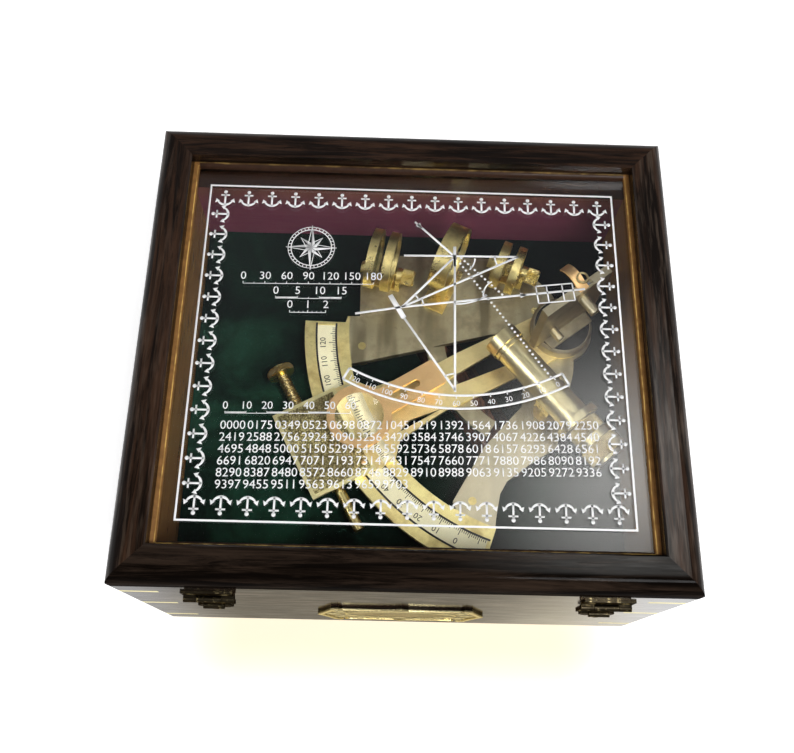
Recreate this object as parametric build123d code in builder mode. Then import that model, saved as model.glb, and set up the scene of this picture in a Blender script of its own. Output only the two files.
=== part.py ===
"""Sextant in its glass-topped wooden case: hinged lid, two front latches and a fitted tray."""
import math
import os

from build123d import *

# ---- Case, millimetres. X runs left to right, Y front to back, Z up from the table.
case_width = 266.0
case_depth = 238.0
case_height = 148.0
lid_height = 44.0
wall = 10.0
bottom_thickness = 8.0

# Mitred moulding round the lid's top, with a rebate for the glass
rail_width = 17.2
rail_height = 14.5
rail_round = 7.0
rail_arris = 0.8
glass_drop = 9.8
glass_thickness = 3.0
glass_gap = 0.4
stop_size = 6.0
bead_radius = 2.6

# Flush brass keys across the case's mitred corners
key_leg = 18.0
key_thickness = 4.0
lid_key_rise = 13.0
body_key_drop = 31.0
body_key_low = 18.0

# Fitted tray under the instrument
ledge_width = 9.0
ledge_height = 35.0
tray_gap = 0.5
tray_thickness = 12.0
lining_thickness = 1.0
leg_hole_radius = 7.0
rest_size = 18.0
rest_height = 10.0
handle_slot_width = 26.0
handle_slot_length = 114.0

# Stop hinges let into the joint between lid and body
hinge_inset = 63.0
hinge_length = 30.0
hinge_leaf_depth = 8.0
hinge_leaf_thickness = 1.3
barrel_radius = 2.6
barrel_gap = 0.2
hinge_pin_radius = 1.2
running_gap = 0.05
knuckle_gap = 0.25
middle_knuckle = 10.0

# Latches on the front
latch_left_inset = 41.0
latch_right_inset = 37.0
latch_axis_rise = 8.0
latch_leaf_width = 24.0
latch_leaf_height = 9.0
latch_leaf_thickness = 1.0
latch_barrel_radius = 1.75
latch_barrel_gap = 0.5
latch_pin_radius = 0.8
latch_middle = 11.6
flap_thickness = 1.2
flap_lift = 0.35
flap_length = 26.0
flap_width = 17.0
flap_neck_drop = 2.4
flap_shoulder_drop = 4.6
flap_shoulder_inset = 0.6
flap_waist_drop = 11.0
flap_hip_drop = 18.0
flap_corner_drop = 22.0
ridge_drop = 15.0
ridge_radius = 1.6
fork_width = 3.6
stud_drop = 22.0
stud_radius = 1.5
stud_reach = 4.4
catch_width = 16.0
catch_height = 16.0
latch_drop = 14.0
leaf_hole_rise = 6.0
catch_hole_rise = 4.0
wrap_rise = 1.0
wrap_thickness = 1.4

# Brass plaque on the front
plaque_width = 89.0
plaque_height = 52.0
plaque_thickness = 1.2
plaque_rim = 0.7
plaque_drop = 54.0
plaque_border = 2.4

# Countersunk wood screws
screw_head_radius = 1.7
screw_head_depth = 0.9
screw_shank_radius = 0.9
screw_length = 6.0

# ---- Sextant. Its places are given from a seat point that keeps its distance from the right wall;
# the limb's front corner keeps its distance from the case's middle. Arm angles are from +X.
seat_inset = 123.0
limb_reach = 100.15
pivot_place = (89.5, 40.6)
arm_angle = 208.3
frame_clearance = 8.0
frame_thickness = 4.0
limb_outer = 148.5
limb_width = 25.5
limb_start = 178.8
limb_end = 251.4
scale_inset = 6.5
scale_width = 12.0
strip_depth = 0.6
strip_margin = 0.3
brace_inner = 68.0
brace_outer = 78.5
brace_start = 189.0
brace_end = 236.0
head_radius = 19.0
hub_radius = 12.0
hub_drop = 4.0
centre_radius = 4.0
nut_radius = 6.0
nut_thickness = 2.7
nut_gap = 0.3
leg_radius = 3.0
foot_radius = 4.6
foot_height = 7.0
spigot_radius = 2.3
handle_radius = 11.0
handle_end_radius = 8.0
handle_length = 100.0
handle_drop = 22.0
post_radius = 3.0
leg_places = [(-25.5, 28.5), (37.6, -61.3), (76.0, 54.0)]
handle_places = [(14.0, 42.0), (58.0, -32.0)]

# Outline of the frame above the limb, and both edges of its right spoke
upper_edge = [
    (-34.3, 47.2),
    (-27.3, 47.4),
    (-27.6, 82.0),
    (-22.0, 88.0),
    (52.0, 88.0),
    (66.0, 86.0),
    (86.0, 66.0),
    (96.0, 46.0),
    (84.0, 33.0),
    (50.4, 38.1),
    (22.0, 30.9),
    (10.4, 27.4),
    (-30.8, 17.4),
]
spoke_inner_edge = [(70.0, 26.0), (66.3, -6.2), (44.7, -30.3), (27.1, -61.5)]
spoke_outer_edge = [
    (50.3, -71.2),
    (52.9, -56.9),
    (57.0, -49.6),
    (70.0, -39.6),
    (85.0, -30.0),
    (88.0, -20.0),
    (96.8, 15.6),
    (98.0, 30.0),
]
limb_overlap = 2.0

# Index arm, mirror and vernier
arm_lift = 0.3
arm_thickness = 2.5
arm_inset = 2.5
arm_hub_side = [(0.0, 14.3), (60.0, 14.3), (82.0, 13.4)]
arm_slot = [(30.0, 6.0), (71.0, 2.6), (73.0, 1.2)]
side_window = [(84.5, 11.6), (103.6, 9.5), (112.5, 13.0)]
arm_neck_drop = 9.5
arm_neck_half = 17.2
arm_flare_drop = 2.0
arm_flare_half = 26.0
disc_radius = 17.0
drum_radius = 17.5
drum_height = 7.2
drum_chamfer = 1.2
mirror_angle = 37.5
mirror_width = 42.0
mirror_headroom = 13.6
mirror_glass = 3.0
bracket_width = 45.0
bracket_plate = 1.8
bracket_base = 2.0
bracket_foot_width = 30.0
bracket_foot_depth = 13.0
bracket_foot_back = 2.0
lip_width = 1.5
clip_thickness = 1.6
clip_notch_place = 6.0
clip_notch_length = 8.0
clip_notch_width = 2.2
# Adjusting screws behind the mirror
upper_screw_place = 4.0
upper_screw_drop = 8.0
upper_screw_radius = 3.0
upper_screw_length = 11.0
lower_screw_place = -11.5
lower_screw_rise = 12.0
lower_screw_radius = 2.4
lower_screw_length = 7.5
plate_inset = 15.5
plate_length = 38.0
plate_half = 26.5
plate_thickness = 2.0
screw_outset = 7.0
tangent_radius = 3.0
tangent_start = -49.0
tangent_end = 51.0
knob_radius = 7.5
knob_thickness = 4.0
tangent_drop = 5.8
block_width = 8.0
block_length = 6.0
block_offset = 22.0
collar_radius = 4.3
collar_length = 1.2

# Magnifier on its swinging arm
magnifier_pivot_s = 84.0
magnifier_pivot_t = -4.6
magnifier_reach = 45.5
magnifier_turn = 4.1
magnifier_lift = 12.4
magnifier_tail = 7.0
magnifier_thickness = 2.0
magnifier_width = 15.5
magnifier_outer = 17.8
magnifier_bore = 13.3
magnifier_corner = 3.0
magnifier_pin_radius = 2.2
magnifier_post_radius = 4.0
magnifier_post_gap = 0.3
lens_bulge = 1.7
slot_width = 4.3
slot_length = 18.0
slot_centre = 16.0

# Horizon mirror
horizon_place = (23.0, 71.0)
horizon_angle = -24.5
horizon_centre_lift = 31.0
cell_radius = 19.0
cell_bore = 16.5
cell_depth = 10.0
cell_back = 2.0
cell_stem = 13.0
cell_stem_depth = 7.0
cell_foot_width = 14.0
cell_foot_front = 20.0
cell_foot_back = 10.0
mirror_setback = 1.5
base_thickness = 2.0

# Shades: two for the horizon, two for the index mirror
shade_axis_lift = 12.0
shade_rim = 3.0
shade_pin_radius = 2.0
shade_eye = 4.6
shade_glass = 1.6
ear_thickness = 2.5
ear_width = 9.0
ear_gap = 0.7
shade_nut_radius = 3.6
shade_nut_length = 3.0
shade_knob_radius = 4.2
shade_knob_length = 8.0
# Each pair: place of the nearer ring's centre, turn of the pin, ring's distance in front of the pin
# and height above it, ring radius, pitch along the pin and ring thickness
horizon_shade_place = (-10.2, 65.8)
horizon_shade_turn = -13.0
horizon_shade_offset = 3.9
horizon_shade_rise = 21.0
horizon_shade_radius = 16.8
horizon_shade_pitch = 9.4
horizon_shade_thickness = 4.8
index_shade_place = (60.7, 65.3)
index_shade_turn = -21.0
index_shade_offset = 9.0
index_shade_rise = 16.0
index_shade_radius = 13.8
index_shade_pitch = 9.0
index_shade_thickness = 4.5

# Telescope
scope_place = (50.8, 24.3)
scope_angle = -49.7
scope_lift = 28.0
tube_radius = 8.7
objective_radius = 9.9
objective_length = 7.0
collar_gap = 1.0
tube_collar_length = 1.5
tube_collar_height = 0.6
tube_length = 60.0
flange_radius = 12.5
flange_length = 4.0
tube_bore = 7.5
lens_setback = 1.0
lens_lip = 0.8
lens_radius = 8.0
lens_thickness = 3.0
eyepiece_radius = 10.5
eyepiece_neck = 9.0
neck_length = 8.5
eye_radius = 3.0
eye_depth = 6.0
draw_insert = 18.0
draw_wall = 1.2
draw_gap = 0.06
draw_stop_gap = 0.4
scope_length = 88.0
saddle_place = 44.0
saddle_width = 14.0
saddle_length = 10.0
saddle_thickness = 4.0
saddle_wrap = 0.55
stem_radius = 4.0
foot_flange = 3.0

# ---- Derived heights and places
joint_height = case_height - lid_height
rail_base = case_height - rail_height
glass_top = case_height - glass_drop
half_width = case_width / 2
half_depth = case_depth / 2
hinge_offset = half_width - hinge_inset
latch_left_x = -half_width + latch_left_inset
latch_right_x = half_width - latch_right_inset
latch_axis_height = joint_height + latch_axis_rise
plaque_centre_height = joint_height - plaque_drop
lid_key_heights = [joint_height + lid_key_rise]
body_key_heights = [body_key_low, joint_height - body_key_drop]
tray_low = bottom_thickness + ledge_height
lining_low = tray_low + tray_thickness
tray_top = lining_low + lining_thickness
frame_low = tray_top + frame_clearance
frame_top = frame_low + frame_thickness
arm_low = frame_top + arm_lift
arm_top = arm_low + arm_thickness
hinge_axis_y = half_depth + barrel_gap + barrel_radius
latch_axis_y = -half_depth - latch_barrel_gap - latch_barrel_radius
limb_inner = limb_outer - limb_width
strip_outer = limb_outer - scale_inset
strip_inner = strip_outer - scale_width
seat_x = half_width - wall - seat_inset
seat_y = limb_outer * math.sin(math.radians(limb_end - 180)) - pivot_place[1] - limb_reach


def seated(places):
    """Places of the instrument's own plan, moved to where it sits in the case."""
    return [(x + seat_x, y + seat_y) for x, y in places]


pivot_x, pivot_y = seated([pivot_place])[0]
horizon_x, horizon_y = seated([horizon_place])[0]
scope_x, scope_y = seated([scope_place])[0]
leg_spots = seated(leg_places)
handle_posts = seated(handle_places)
plate_start = limb_outer - plate_inset
plate_end = plate_start + plate_length
arm_end = limb_outer - arm_inset
screw_distance = limb_outer + screw_outset

# Each side's plan runs along its own x, with the outside of the case at its -y
sides = {
    "front": ((1, 0, 0), case_width, case_depth),
    "right": ((0, 1, 0), case_depth, case_width),
    "back": ((-1, 0, 0), case_width, case_depth),
    "left": ((0, -1, 0), case_depth, case_width),
}


def save(piece, name):
    piece.part.label = name
    export_step(piece.part, "parts/" + name + ".step")
    print(name, len(piece.part.solids()), round(piece.part.volume, 1))


def outline_face(points, mode=Mode.ADD):
    with BuildLine() as path:
        Polyline(*points, close=True)
    make_face(path.edges(), mode=mode)


def side_plan(side, height):
    return Plane(origin=(0, 0, height), x_dir=sides[side][0], z_dir=(0, 0, 1))


def mitre_outline(side, inner, outer):
    """Plan of a mitred bar lying between two distances in from the outside of the case."""
    run, across = sides[side][1:]
    outline_face([
        (-run / 2 + inner, -across / 2 + inner),
        (run / 2 - inner, -across / 2 + inner),
        (run / 2 - outer, -across / 2 + outer),
        (-run / 2 + outer, -across / 2 + outer),
    ])


def corner_triangle(corner_x, corner_y, leg):
    towards_x = -math.copysign(leg, corner_x)
    towards_y = -math.copysign(leg, corner_y)
    outline_face([
        (corner_x, corner_y),
        (corner_x + towards_x, corner_y),
        (corner_x, corner_y + towards_y),
    ])


def case_wall(side, low, high, key_heights):
    """One mitred wall with the pockets for its corner keys."""
    run, across = sides[side][1:]
    with BuildPart() as panel:
        with BuildSketch(side_plan(side, low)):
            mitre_outline(side, 0, wall)
        extrude(amount=high - low)
        for key_height in key_heights:
            with BuildSketch(side_plan(side, key_height - key_thickness / 2)):
                corner_triangle(-run / 2, -across / 2, key_leg)
                corner_triangle(run / 2, -across / 2, key_leg)
            extrude(amount=key_thickness, mode=Mode.SUBTRACT)
    return panel


def corner_keys(key_heights):
    with BuildPart() as keys:
        for key_height in key_heights:
            with BuildSketch(Plane.XY.offset(key_height - key_thickness / 2)):
                for corner_x in (-half_width, half_width):
                    for corner_y in (-half_depth, half_depth):
                        corner_triangle(corner_x, corner_y, key_leg)
            extrude(amount=key_thickness)
    return keys


def mitred_moulding(side, outline, inner, outer):
    """A moulding run along one side; outline draws its section, u inwards and v up."""
    run, across = sides[side][1:]
    plan = side_plan(side, rail_base)
    start = plan.from_local_coords(Vector(-run / 2, -across / 2, 0))
    section_plane = Plane(origin=start, x_dir=plan.y_dir, z_dir=plan.x_dir)
    with BuildPart() as moulding:
        with BuildSketch(section_plane):
            outline()
        extrude(amount=run)
        with BuildSketch(side_plan(side, 0)):
            mitre_outline(side, inner, outer)
        extrude(amount=case_height * 2, both=True, mode=Mode.INTERSECT)
    return moulding


def rail_outline():
    """Moulding: rounded outer top edge, small inner arris, rebate under the inner edge."""
    rebate_top = rail_height - glass_drop
    with BuildLine() as path:
        Line((0, 0), (0, rail_height - rail_round))
        CenterArc((rail_round, rail_height - rail_round), rail_round, 90, 90)
        Line((rail_round, rail_height), (rail_width - rail_arris, rail_height))
        Line((rail_width - rail_arris, rail_height), (rail_width, rail_height - rail_arris))
        Line((rail_width, rail_height - rail_arris), (rail_width, rebate_top))
        Line((rail_width, rebate_top), (wall, rebate_top))
        Line((wall, rebate_top), (wall, 0))
        Line((wall, 0), (0, 0))
    make_face(path.edges())


def stop_outline():
    top = rail_height - glass_drop - glass_thickness
    with Locations((wall + stop_size / 2, top - stop_size / 2)):
        Rectangle(stop_size, stop_size)


def bead_outline():
    """Quarter-round bead in the corner between the moulding and the glass."""
    low = rail_height - glass_drop
    with BuildLine() as path:
        Line((rail_width, low), (rail_width + bead_radius, low))
        CenterArc((rail_width, low), bead_radius, 0, 90)
        Line((rail_width, low + bead_radius), (rail_width, low))
    make_face(path.edges())


def four_sides(outline, inner, outer):
    with BuildPart() as ring:
        for side in sides:
            add(mitred_moulding(side, outline, inner, outer).part)
    return ring


def wood_screw(head_plane, length=screw_length):
    """Countersunk screw: the plane lies on the head's flat top, with its z out of the wood."""
    with BuildPart() as screw:
        with BuildSketch(head_plane):
            Circle(screw_head_radius)
        with BuildSketch(head_plane.offset(-screw_head_depth)):
            Circle(screw_shank_radius)
        loft()
        with BuildSketch(head_plane.offset(-length)):
            Circle(screw_shank_radius)
        extrude(amount=length - screw_head_depth)
    return screw.part


def facing(x, y, z, direction, x_dir=None):
    return Plane(origin=(x, y, z), z_dir=direction, x_dir=x_dir)


def cylinder_between(start, end, radius, mode=Mode.ADD):
    """Round bar from one point to another."""
    run = Vector(*end) - Vector(*start)
    with BuildSketch(Plane(origin=start, z_dir=run)) as section:
        Circle(radius)
    extrude(section.sketch, amount=run.length, mode=mode)


def polar(radius, angle):
    turn = math.radians(angle)
    return (pivot_x + radius * math.cos(turn), pivot_y + radius * math.sin(turn))


def arm_point(s, t):
    """Point s out along the index arm from its pivot and t across it."""
    turn = math.radians(arm_angle)
    along = (math.cos(turn), math.sin(turn))
    across = (-math.sin(turn), math.cos(turn))
    return (pivot_x + s * along[0] + t * across[0], pivot_y + s * along[1] + t * across[1])


def arm_points(pairs):
    return [arm_point(s, t) for s, t in pairs]


def sector(inner, outer, start, end):
    """Flat ring sector about the pivot."""
    with BuildLine() as path:
        CenterArc((pivot_x, pivot_y), outer, start, end - start)
        CenterArc((pivot_x, pivot_y), inner, start, end - start)
        Line(polar(inner, start), polar(outer, start))
        Line(polar(inner, end), polar(outer, end))
    make_face(path.edges())


os.makedirs("parts", exist_ok=True)

# ---- Screws and pins, made first so that their holes can be cut from them
hinge_screw_spots = [
    (side * hinge_offset + shift, half_depth - hinge_leaf_depth / 2 - 0.5)
    for side in (-1, 1)
    for shift in (-hinge_length / 3, hinge_length / 3)
]
catch_spots = [
    (x + shift, latch_axis_height - latch_drop - catch_height + catch_hole_rise)
    for x in (latch_left_x, latch_right_x)
    for shift in (-catch_width / 3, catch_width / 3)
]
leaf_spots = [
    (x + shift, latch_axis_height + leaf_hole_rise)
    for x in (latch_left_x, latch_right_x)
    for shift in (-latch_leaf_width / 3, latch_leaf_width / 3)
]
plaque_spots = [(-plaque_width * 0.3, 0), (0, -plaque_height * 0.3), (plaque_width * 0.3, 0)]
front_face = -half_depth - latch_leaf_thickness
plaque_face = -half_depth - plaque_thickness

with BuildPart() as screws_body:
    for x, y in hinge_screw_spots:
        add(wood_screw(facing(x, y, joint_height, (0, 0, 1))))
    for x, z in catch_spots:
        add(wood_screw(facing(x, front_face, z, (0, -1, 0))))
    for x, z in plaque_spots:
        add(wood_screw(facing(x, plaque_face, plaque_centre_height + z, (0, -1, 0))))

with BuildPart() as screws_lid:
    for x, y in hinge_screw_spots:
        add(wood_screw(facing(x, y, joint_height, (0, 0, -1))))
    for x, z in leaf_spots:
        add(wood_screw(facing(x, front_face, z, (0, -1, 0))))


def leaf_pocket(upward):
    """Mortises for the hinge leaves, below the joint or above it."""
    centre_z = joint_height + upward * hinge_leaf_thickness / 2
    with Locations(
        (-hinge_offset, half_depth - hinge_leaf_depth / 2, centre_z),
        (hinge_offset, half_depth - hinge_leaf_depth / 2, centre_z),
    ):
        Box(hinge_length, hinge_leaf_depth, hinge_leaf_thickness, mode=Mode.SUBTRACT)


# ---- Body walls, bottom and corner keys
for side in sides:
    with BuildPart() as body_wall:
        add(case_wall(side, 0, joint_height, body_key_heights).part)
        if side == "back":
            leaf_pocket(-1)
        add(screws_body.part, mode=Mode.SUBTRACT)
    save(body_wall, "body_" + side)

with BuildPart() as body_bottom:
    with Locations((0, 0, bottom_thickness / 2)):
        Box(case_width - 2 * wall, case_depth - 2 * wall, bottom_thickness)
save(body_bottom, "body_bottom")
save(corner_keys(body_key_heights), "corner_keys_body")

# ---- Lid walls, mouldings, glass and its strips
for side in sides:
    with BuildPart() as lid_wall:
        add(case_wall(side, joint_height, rail_base, lid_key_heights).part)
        if side == "back":
            leaf_pocket(1)
        add(screws_lid.part, mode=Mode.SUBTRACT)
    save(lid_wall, "lid_" + side)
    save(mitred_moulding(side, rail_outline, 0, rail_width), "rail_" + side)

save(corner_keys(lid_key_heights), "corner_keys_lid")

with BuildPart() as glass_pane:
    with Locations((0, 0, glass_top - glass_thickness / 2)):
        inside_gap = 2 * (wall + glass_gap)
        Box(case_width - inside_gap, case_depth - inside_gap, glass_thickness)
save(glass_pane, "glass_pane")
save(four_sides(stop_outline, wall, wall + stop_size), "glass_stops")
save(four_sides(bead_outline, rail_width, rail_width + bead_radius), "glass_beads")


# ---- Hinges
def knuckle_places(middle):
    """Centres and lengths of the middle knuckle, or of the two outer ones, of both hinges."""
    outer = (hinge_length - middle_knuckle) / 2 - knuckle_gap
    shift = middle_knuckle / 2 + knuckle_gap + outer / 2
    if middle:
        return [(side * hinge_offset, middle_knuckle) for side in (-1, 1)]
    return [
        (side * hinge_offset + step, outer) for side in (-1, 1) for step in (-shift, shift)
    ]


def hinge_leaves(upward, middle, bore):
    leaf_inner = half_depth - hinge_leaf_depth
    with BuildPart() as leaves:
        for side in (-1, 1):
            centre_y = (leaf_inner + hinge_axis_y) / 2
            centre_z = joint_height + upward * hinge_leaf_thickness / 2
            with Locations((side * hinge_offset, centre_y, centre_z)):
                Box(hinge_length, hinge_axis_y - leaf_inner, hinge_leaf_thickness)
        for x, length in knuckle_places(middle):
            with Locations(Location((x, hinge_axis_y, joint_height), (0, 90, 0))):
                Cylinder(barrel_radius, length)
        for x, length in knuckle_places(not middle):
            with Locations(Location((x, hinge_axis_y, joint_height), (0, 90, 0))):
                Cylinder(barrel_radius + knuckle_gap, length + 2 * knuckle_gap, mode=Mode.SUBTRACT)
        for side in (-1, 1):
            with Locations(Location((side * hinge_offset, hinge_axis_y, joint_height), (0, 90, 0))):
                Cylinder(bore, hinge_length * 2, mode=Mode.SUBTRACT)
        add(screws_body.part if upward < 0 else screws_lid.part, mode=Mode.SUBTRACT)
    return leaves


save(hinge_leaves(-1, False, hinge_pin_radius), "hinge_leaves_body")
save(hinge_leaves(1, True, hinge_pin_radius + running_gap), "hinge_leaves_lid")

with BuildPart() as hinge_pins:
    for side in (-1, 1):
        with Locations(Location((side * hinge_offset, hinge_axis_y, joint_height), (0, 90, 0))):
            Cylinder(hinge_pin_radius, hinge_length)
save(hinge_pins, "hinge_pins")

# ---- Latches
latch_outer = (latch_leaf_width - latch_middle) / 2 - knuckle_gap
latch_shift = latch_middle / 2 + knuckle_gap + latch_outer / 2
latch_turn = (0, 90, 0)

with BuildPart() as latch_leaves:
    for latch_x in (latch_left_x, latch_right_x):
        leaf_height = latch_axis_height + wrap_rise + latch_leaf_height / 2
        with Locations((latch_x, -half_depth - latch_leaf_thickness / 2, leaf_height)):
            Box(latch_leaf_width, latch_leaf_thickness, latch_leaf_height)
        for shift in (-latch_shift, latch_shift):
            knuckle_spot = (latch_x + shift, latch_axis_y, latch_axis_height)
            with Locations(Location(knuckle_spot, latch_turn)):
                Cylinder(latch_barrel_radius, latch_outer)
            wrap = latch_barrel_radius + latch_barrel_gap
            wrap_spot = (latch_x + shift, -half_depth - wrap / 2, latch_axis_height + wrap_rise)
            with Locations(wrap_spot):
                Box(latch_outer, wrap, wrap_thickness)
        with Locations(Location((latch_x, latch_axis_y, latch_axis_height), latch_turn)):
            sweep_radius = latch_barrel_radius + knuckle_gap
            Cylinder(sweep_radius, latch_middle + 2 * knuckle_gap, mode=Mode.SUBTRACT)
            Cylinder(latch_pin_radius, latch_leaf_width)
    add(screws_lid.part, mode=Mode.SUBTRACT)
save(latch_leaves, "latch_leaves")

with BuildPart() as latch_catches:
    for latch_x in (latch_left_x, latch_right_x):
        catch_top = latch_axis_height - latch_drop
        catch_y = -half_depth - latch_leaf_thickness / 2
        with Locations((latch_x, catch_y, catch_top - catch_height / 2)):
            Box(catch_width, latch_leaf_thickness, catch_height)
        stud_height = latch_axis_height - stud_drop
        cylinder_between(
            (latch_x, -half_depth - latch_leaf_thickness, stud_height),
            (latch_x, -half_depth - stud_reach, stud_height),
            stud_radius,
        )
    add(screws_body.part, mode=Mode.SUBTRACT)
save(latch_catches, "latch_catches")

flap_inner_y = latch_axis_y + flap_lift


def latch_flap(latch_x):
    """Shaped flap that hangs from the lid and straddles the stud with an open fork."""
    flap_plane = facing(latch_x, flap_inner_y, latch_axis_height, (0, -1, 0), (1, 0, 0))
    half = flap_width / 2
    neck = latch_middle / 2
    shoulder = half - flap_shoulder_inset
    end = half * 0.62
    right_edge = [
        (neck, 0),
        (neck, -flap_neck_drop),
        (shoulder, -flap_shoulder_drop),
        (half * 0.55, -flap_waist_drop),
        (half, -flap_hip_drop),
        (half, -flap_corner_drop),
        (end, -flap_length),
    ]
    with BuildPart() as flap:
        with Locations(Location((latch_x, latch_axis_y, latch_axis_height), latch_turn)):
            Cylinder(latch_barrel_radius, latch_middle)
        with BuildSketch(flap_plane):
            with BuildLine():
                for side in (-1, 1):
                    edge = [(side * x, z) for x, z in right_edge]
                    Polyline(*edge[:3])
                    ThreePointArc(*edge[2:5])
                    Polyline(*edge[4:])
                Line((-neck, 0), (neck, 0))
                Line((-end, -flap_length), (end, -flap_length))
            make_face()
            slot_top = -stud_drop + fork_width / 2
            with Locations((0, slot_top - flap_length / 2)):
                Rectangle(fork_width, flap_length, mode=Mode.SUBTRACT)
        extrude(amount=flap_thickness)
        ridge_spot = (latch_x, flap_inner_y - ridge_radius, latch_axis_height - ridge_drop)
        with Locations(Location(ridge_spot, latch_turn)):
            Cylinder(ridge_radius, half * 1.2)
        with Locations(Location((latch_x, latch_axis_y, latch_axis_height), latch_turn)):
            Cylinder(latch_pin_radius + running_gap, latch_leaf_width, mode=Mode.SUBTRACT)
    return flap


save(latch_flap(latch_left_x), "latch_flap_left")
save(latch_flap(latch_right_x), "latch_flap_right")


# ---- Front plaque
def plaque_outline(grow, mode=Mode.ADD):
    """Cartouche with pointed ends, raised shoulders and a low peak in the middle."""
    half_long = plaque_width / 2 + grow
    half_tall = plaque_height / 2 + grow
    outline = [
        [(1, 0), (0.905, 0.42), (0.82, 0.9)],
        [(0.82, 0.9), (0.74, 1)],
        [(0.74, 1), (0.69, 0.87)],
        [(0.69, 0.87), (0.38, 0.85), (0.08, 0.9)],
        [(0.08, 0.9), (0, 1)],
    ]
    with BuildLine() as path:
        for mirror_x in (half_long, -half_long):
            for mirror_z in (half_tall, -half_tall):
                for stretch in outline:
                    points = [(x * mirror_x, z * mirror_z) for x, z in stretch]
                    if len(points) == 3:
                        ThreePointArc(*points)
                    else:
                        Line(*points)
    make_face(path.edges(), mode=mode)


plaque_plane = facing(0, -half_depth, plaque_centre_height, (0, -1, 0), (1, 0, 0))
with BuildPart() as front_plaque:
    with BuildSketch(plaque_plane):
        plaque_outline(0)
    extrude(amount=plaque_thickness)
    with BuildSketch(plaque_plane.offset(plaque_thickness)):
        plaque_outline(0)
        plaque_outline(-plaque_border, Mode.SUBTRACT)
    extrude(amount=plaque_rim)
    add(screws_body.part, mode=Mode.SUBTRACT)
save(front_plaque, "front_plaque")
save(screws_body, "screws_body")
save(screws_lid, "screws_lid")

# ---- Tray, its lining and supports
handle_middle = (
    (handle_posts[0][0] + handle_posts[1][0]) / 2,
    (handle_posts[0][1] + handle_posts[1][1]) / 2,
)
handle_turn = math.degrees(
    math.atan2(handle_posts[1][1] - handle_posts[0][1], handle_posts[1][0] - handle_posts[0][0])
)


def tray_plan():
    Rectangle(case_width - 2 * wall - 2 * tray_gap, case_depth - 2 * wall - 2 * tray_gap)
    with Locations(*leg_spots):
        Circle(leg_hole_radius, mode=Mode.SUBTRACT)
    with Locations(Location((*handle_middle, 0), (0, 0, handle_turn))):
        SlotOverall(handle_slot_length, handle_slot_width, mode=Mode.SUBTRACT)


with BuildPart() as tray_board:
    with BuildSketch(Plane.XY.offset(tray_low)):
        tray_plan()
    extrude(amount=tray_thickness)
save(tray_board, "tray_board")

with BuildPart() as tray_lining:
    with BuildSketch(Plane.XY.offset(lining_low)):
        tray_plan()
    extrude(amount=lining_thickness)
save(tray_lining, "tray_lining")

with BuildPart() as tray_supports:
    ledge_length = case_depth - 2 * wall
    for side in (-1, 1):
        ledge_x = side * (half_width - wall - ledge_width / 2)
        with Locations((ledge_x, 0, bottom_thickness + ledge_height / 2)):
            Box(ledge_width, ledge_length, ledge_height)
        ledge_y = side * (half_depth - wall - ledge_width / 2)
        with Locations((0, ledge_y, bottom_thickness + ledge_height / 2)):
            Box(case_width - 2 * wall - 2 * ledge_width, ledge_width, ledge_height)
    with Locations(*[(x, y, bottom_thickness + rest_height / 2) for x, y in leg_spots]):
        Box(rest_size, rest_size, rest_height)
save(tray_supports, "tray_supports")

# ---- Sextant frame
upper_plate = [
    polar(limb_inner + limb_overlap, limb_start + 12),
    polar(limb_inner + limb_overlap, limb_start),
    *seated(upper_edge),
]
right_spoke = [
    *seated(spoke_inner_edge),
    polar(limb_inner + limb_overlap, limb_end - 10),
    polar(limb_inner + limb_overlap, limb_end),
    *seated(spoke_outer_edge),
]

with BuildPart() as sextant_frame:
    with BuildSketch(Plane.XY.offset(frame_low)):
        sector(limb_inner, limb_outer, limb_start, limb_end)
        sector(brace_inner, brace_outer, brace_start, brace_end)
        outline_face(upper_plate)
        outline_face(right_spoke)
        with Locations((pivot_x, pivot_y)):
            Circle(head_radius)
    extrude(amount=frame_thickness)
    with BuildSketch(Plane.XY.offset(frame_low - hub_drop)):
        with Locations((pivot_x, pivot_y)):
            Circle(hub_radius)
    extrude(amount=hub_drop)
    with BuildSketch(Plane.XY.offset(frame_top - strip_depth)):
        sector(
            strip_inner - strip_margin,
            strip_outer + strip_margin,
            limb_start + 0.8,
            limb_end - 0.8,
        )
    extrude(amount=strip_depth, mode=Mode.SUBTRACT)
    with Locations((pivot_x, pivot_y, frame_low)):
        Cylinder(centre_radius + running_gap, frame_thickness * 6, mode=Mode.SUBTRACT)
    with Locations(*[(x, y, frame_low) for x, y in leg_spots]):
        Cylinder(spigot_radius, frame_thickness * 3, mode=Mode.SUBTRACT)
save(sextant_frame, "sextant_frame")

with BuildPart() as arc_scale:
    with BuildSketch(Plane.XY.offset(frame_top - strip_depth)):
        sector(strip_inner, strip_outer, limb_start + 1.0, limb_end - 1.0)
    extrude(amount=strip_depth)
save(arc_scale, "arc_scale")

leg_foot = bottom_thickness + rest_height
with BuildPart() as sextant_legs:
    for x, y in leg_spots:
        cylinder_between((x, y, leg_foot), (x, y, leg_foot + foot_height), foot_radius)
        cylinder_between((x, y, leg_foot + foot_height), (x, y, frame_low), leg_radius)
        cylinder_between((x, y, frame_low), (x, y, frame_top), spigot_radius)
save(sextant_legs, "sextant_legs")

handle_height = frame_low - handle_drop
with BuildPart() as handle_brackets:
    for x, y in handle_posts:
        cylinder_between((x, y, handle_height), (x, y, frame_low), post_radius)
        cylinder_between((x, y, frame_low - base_thickness), (x, y, frame_low), post_radius + foot_flange)
save(handle_brackets, "handle_brackets")

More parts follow.
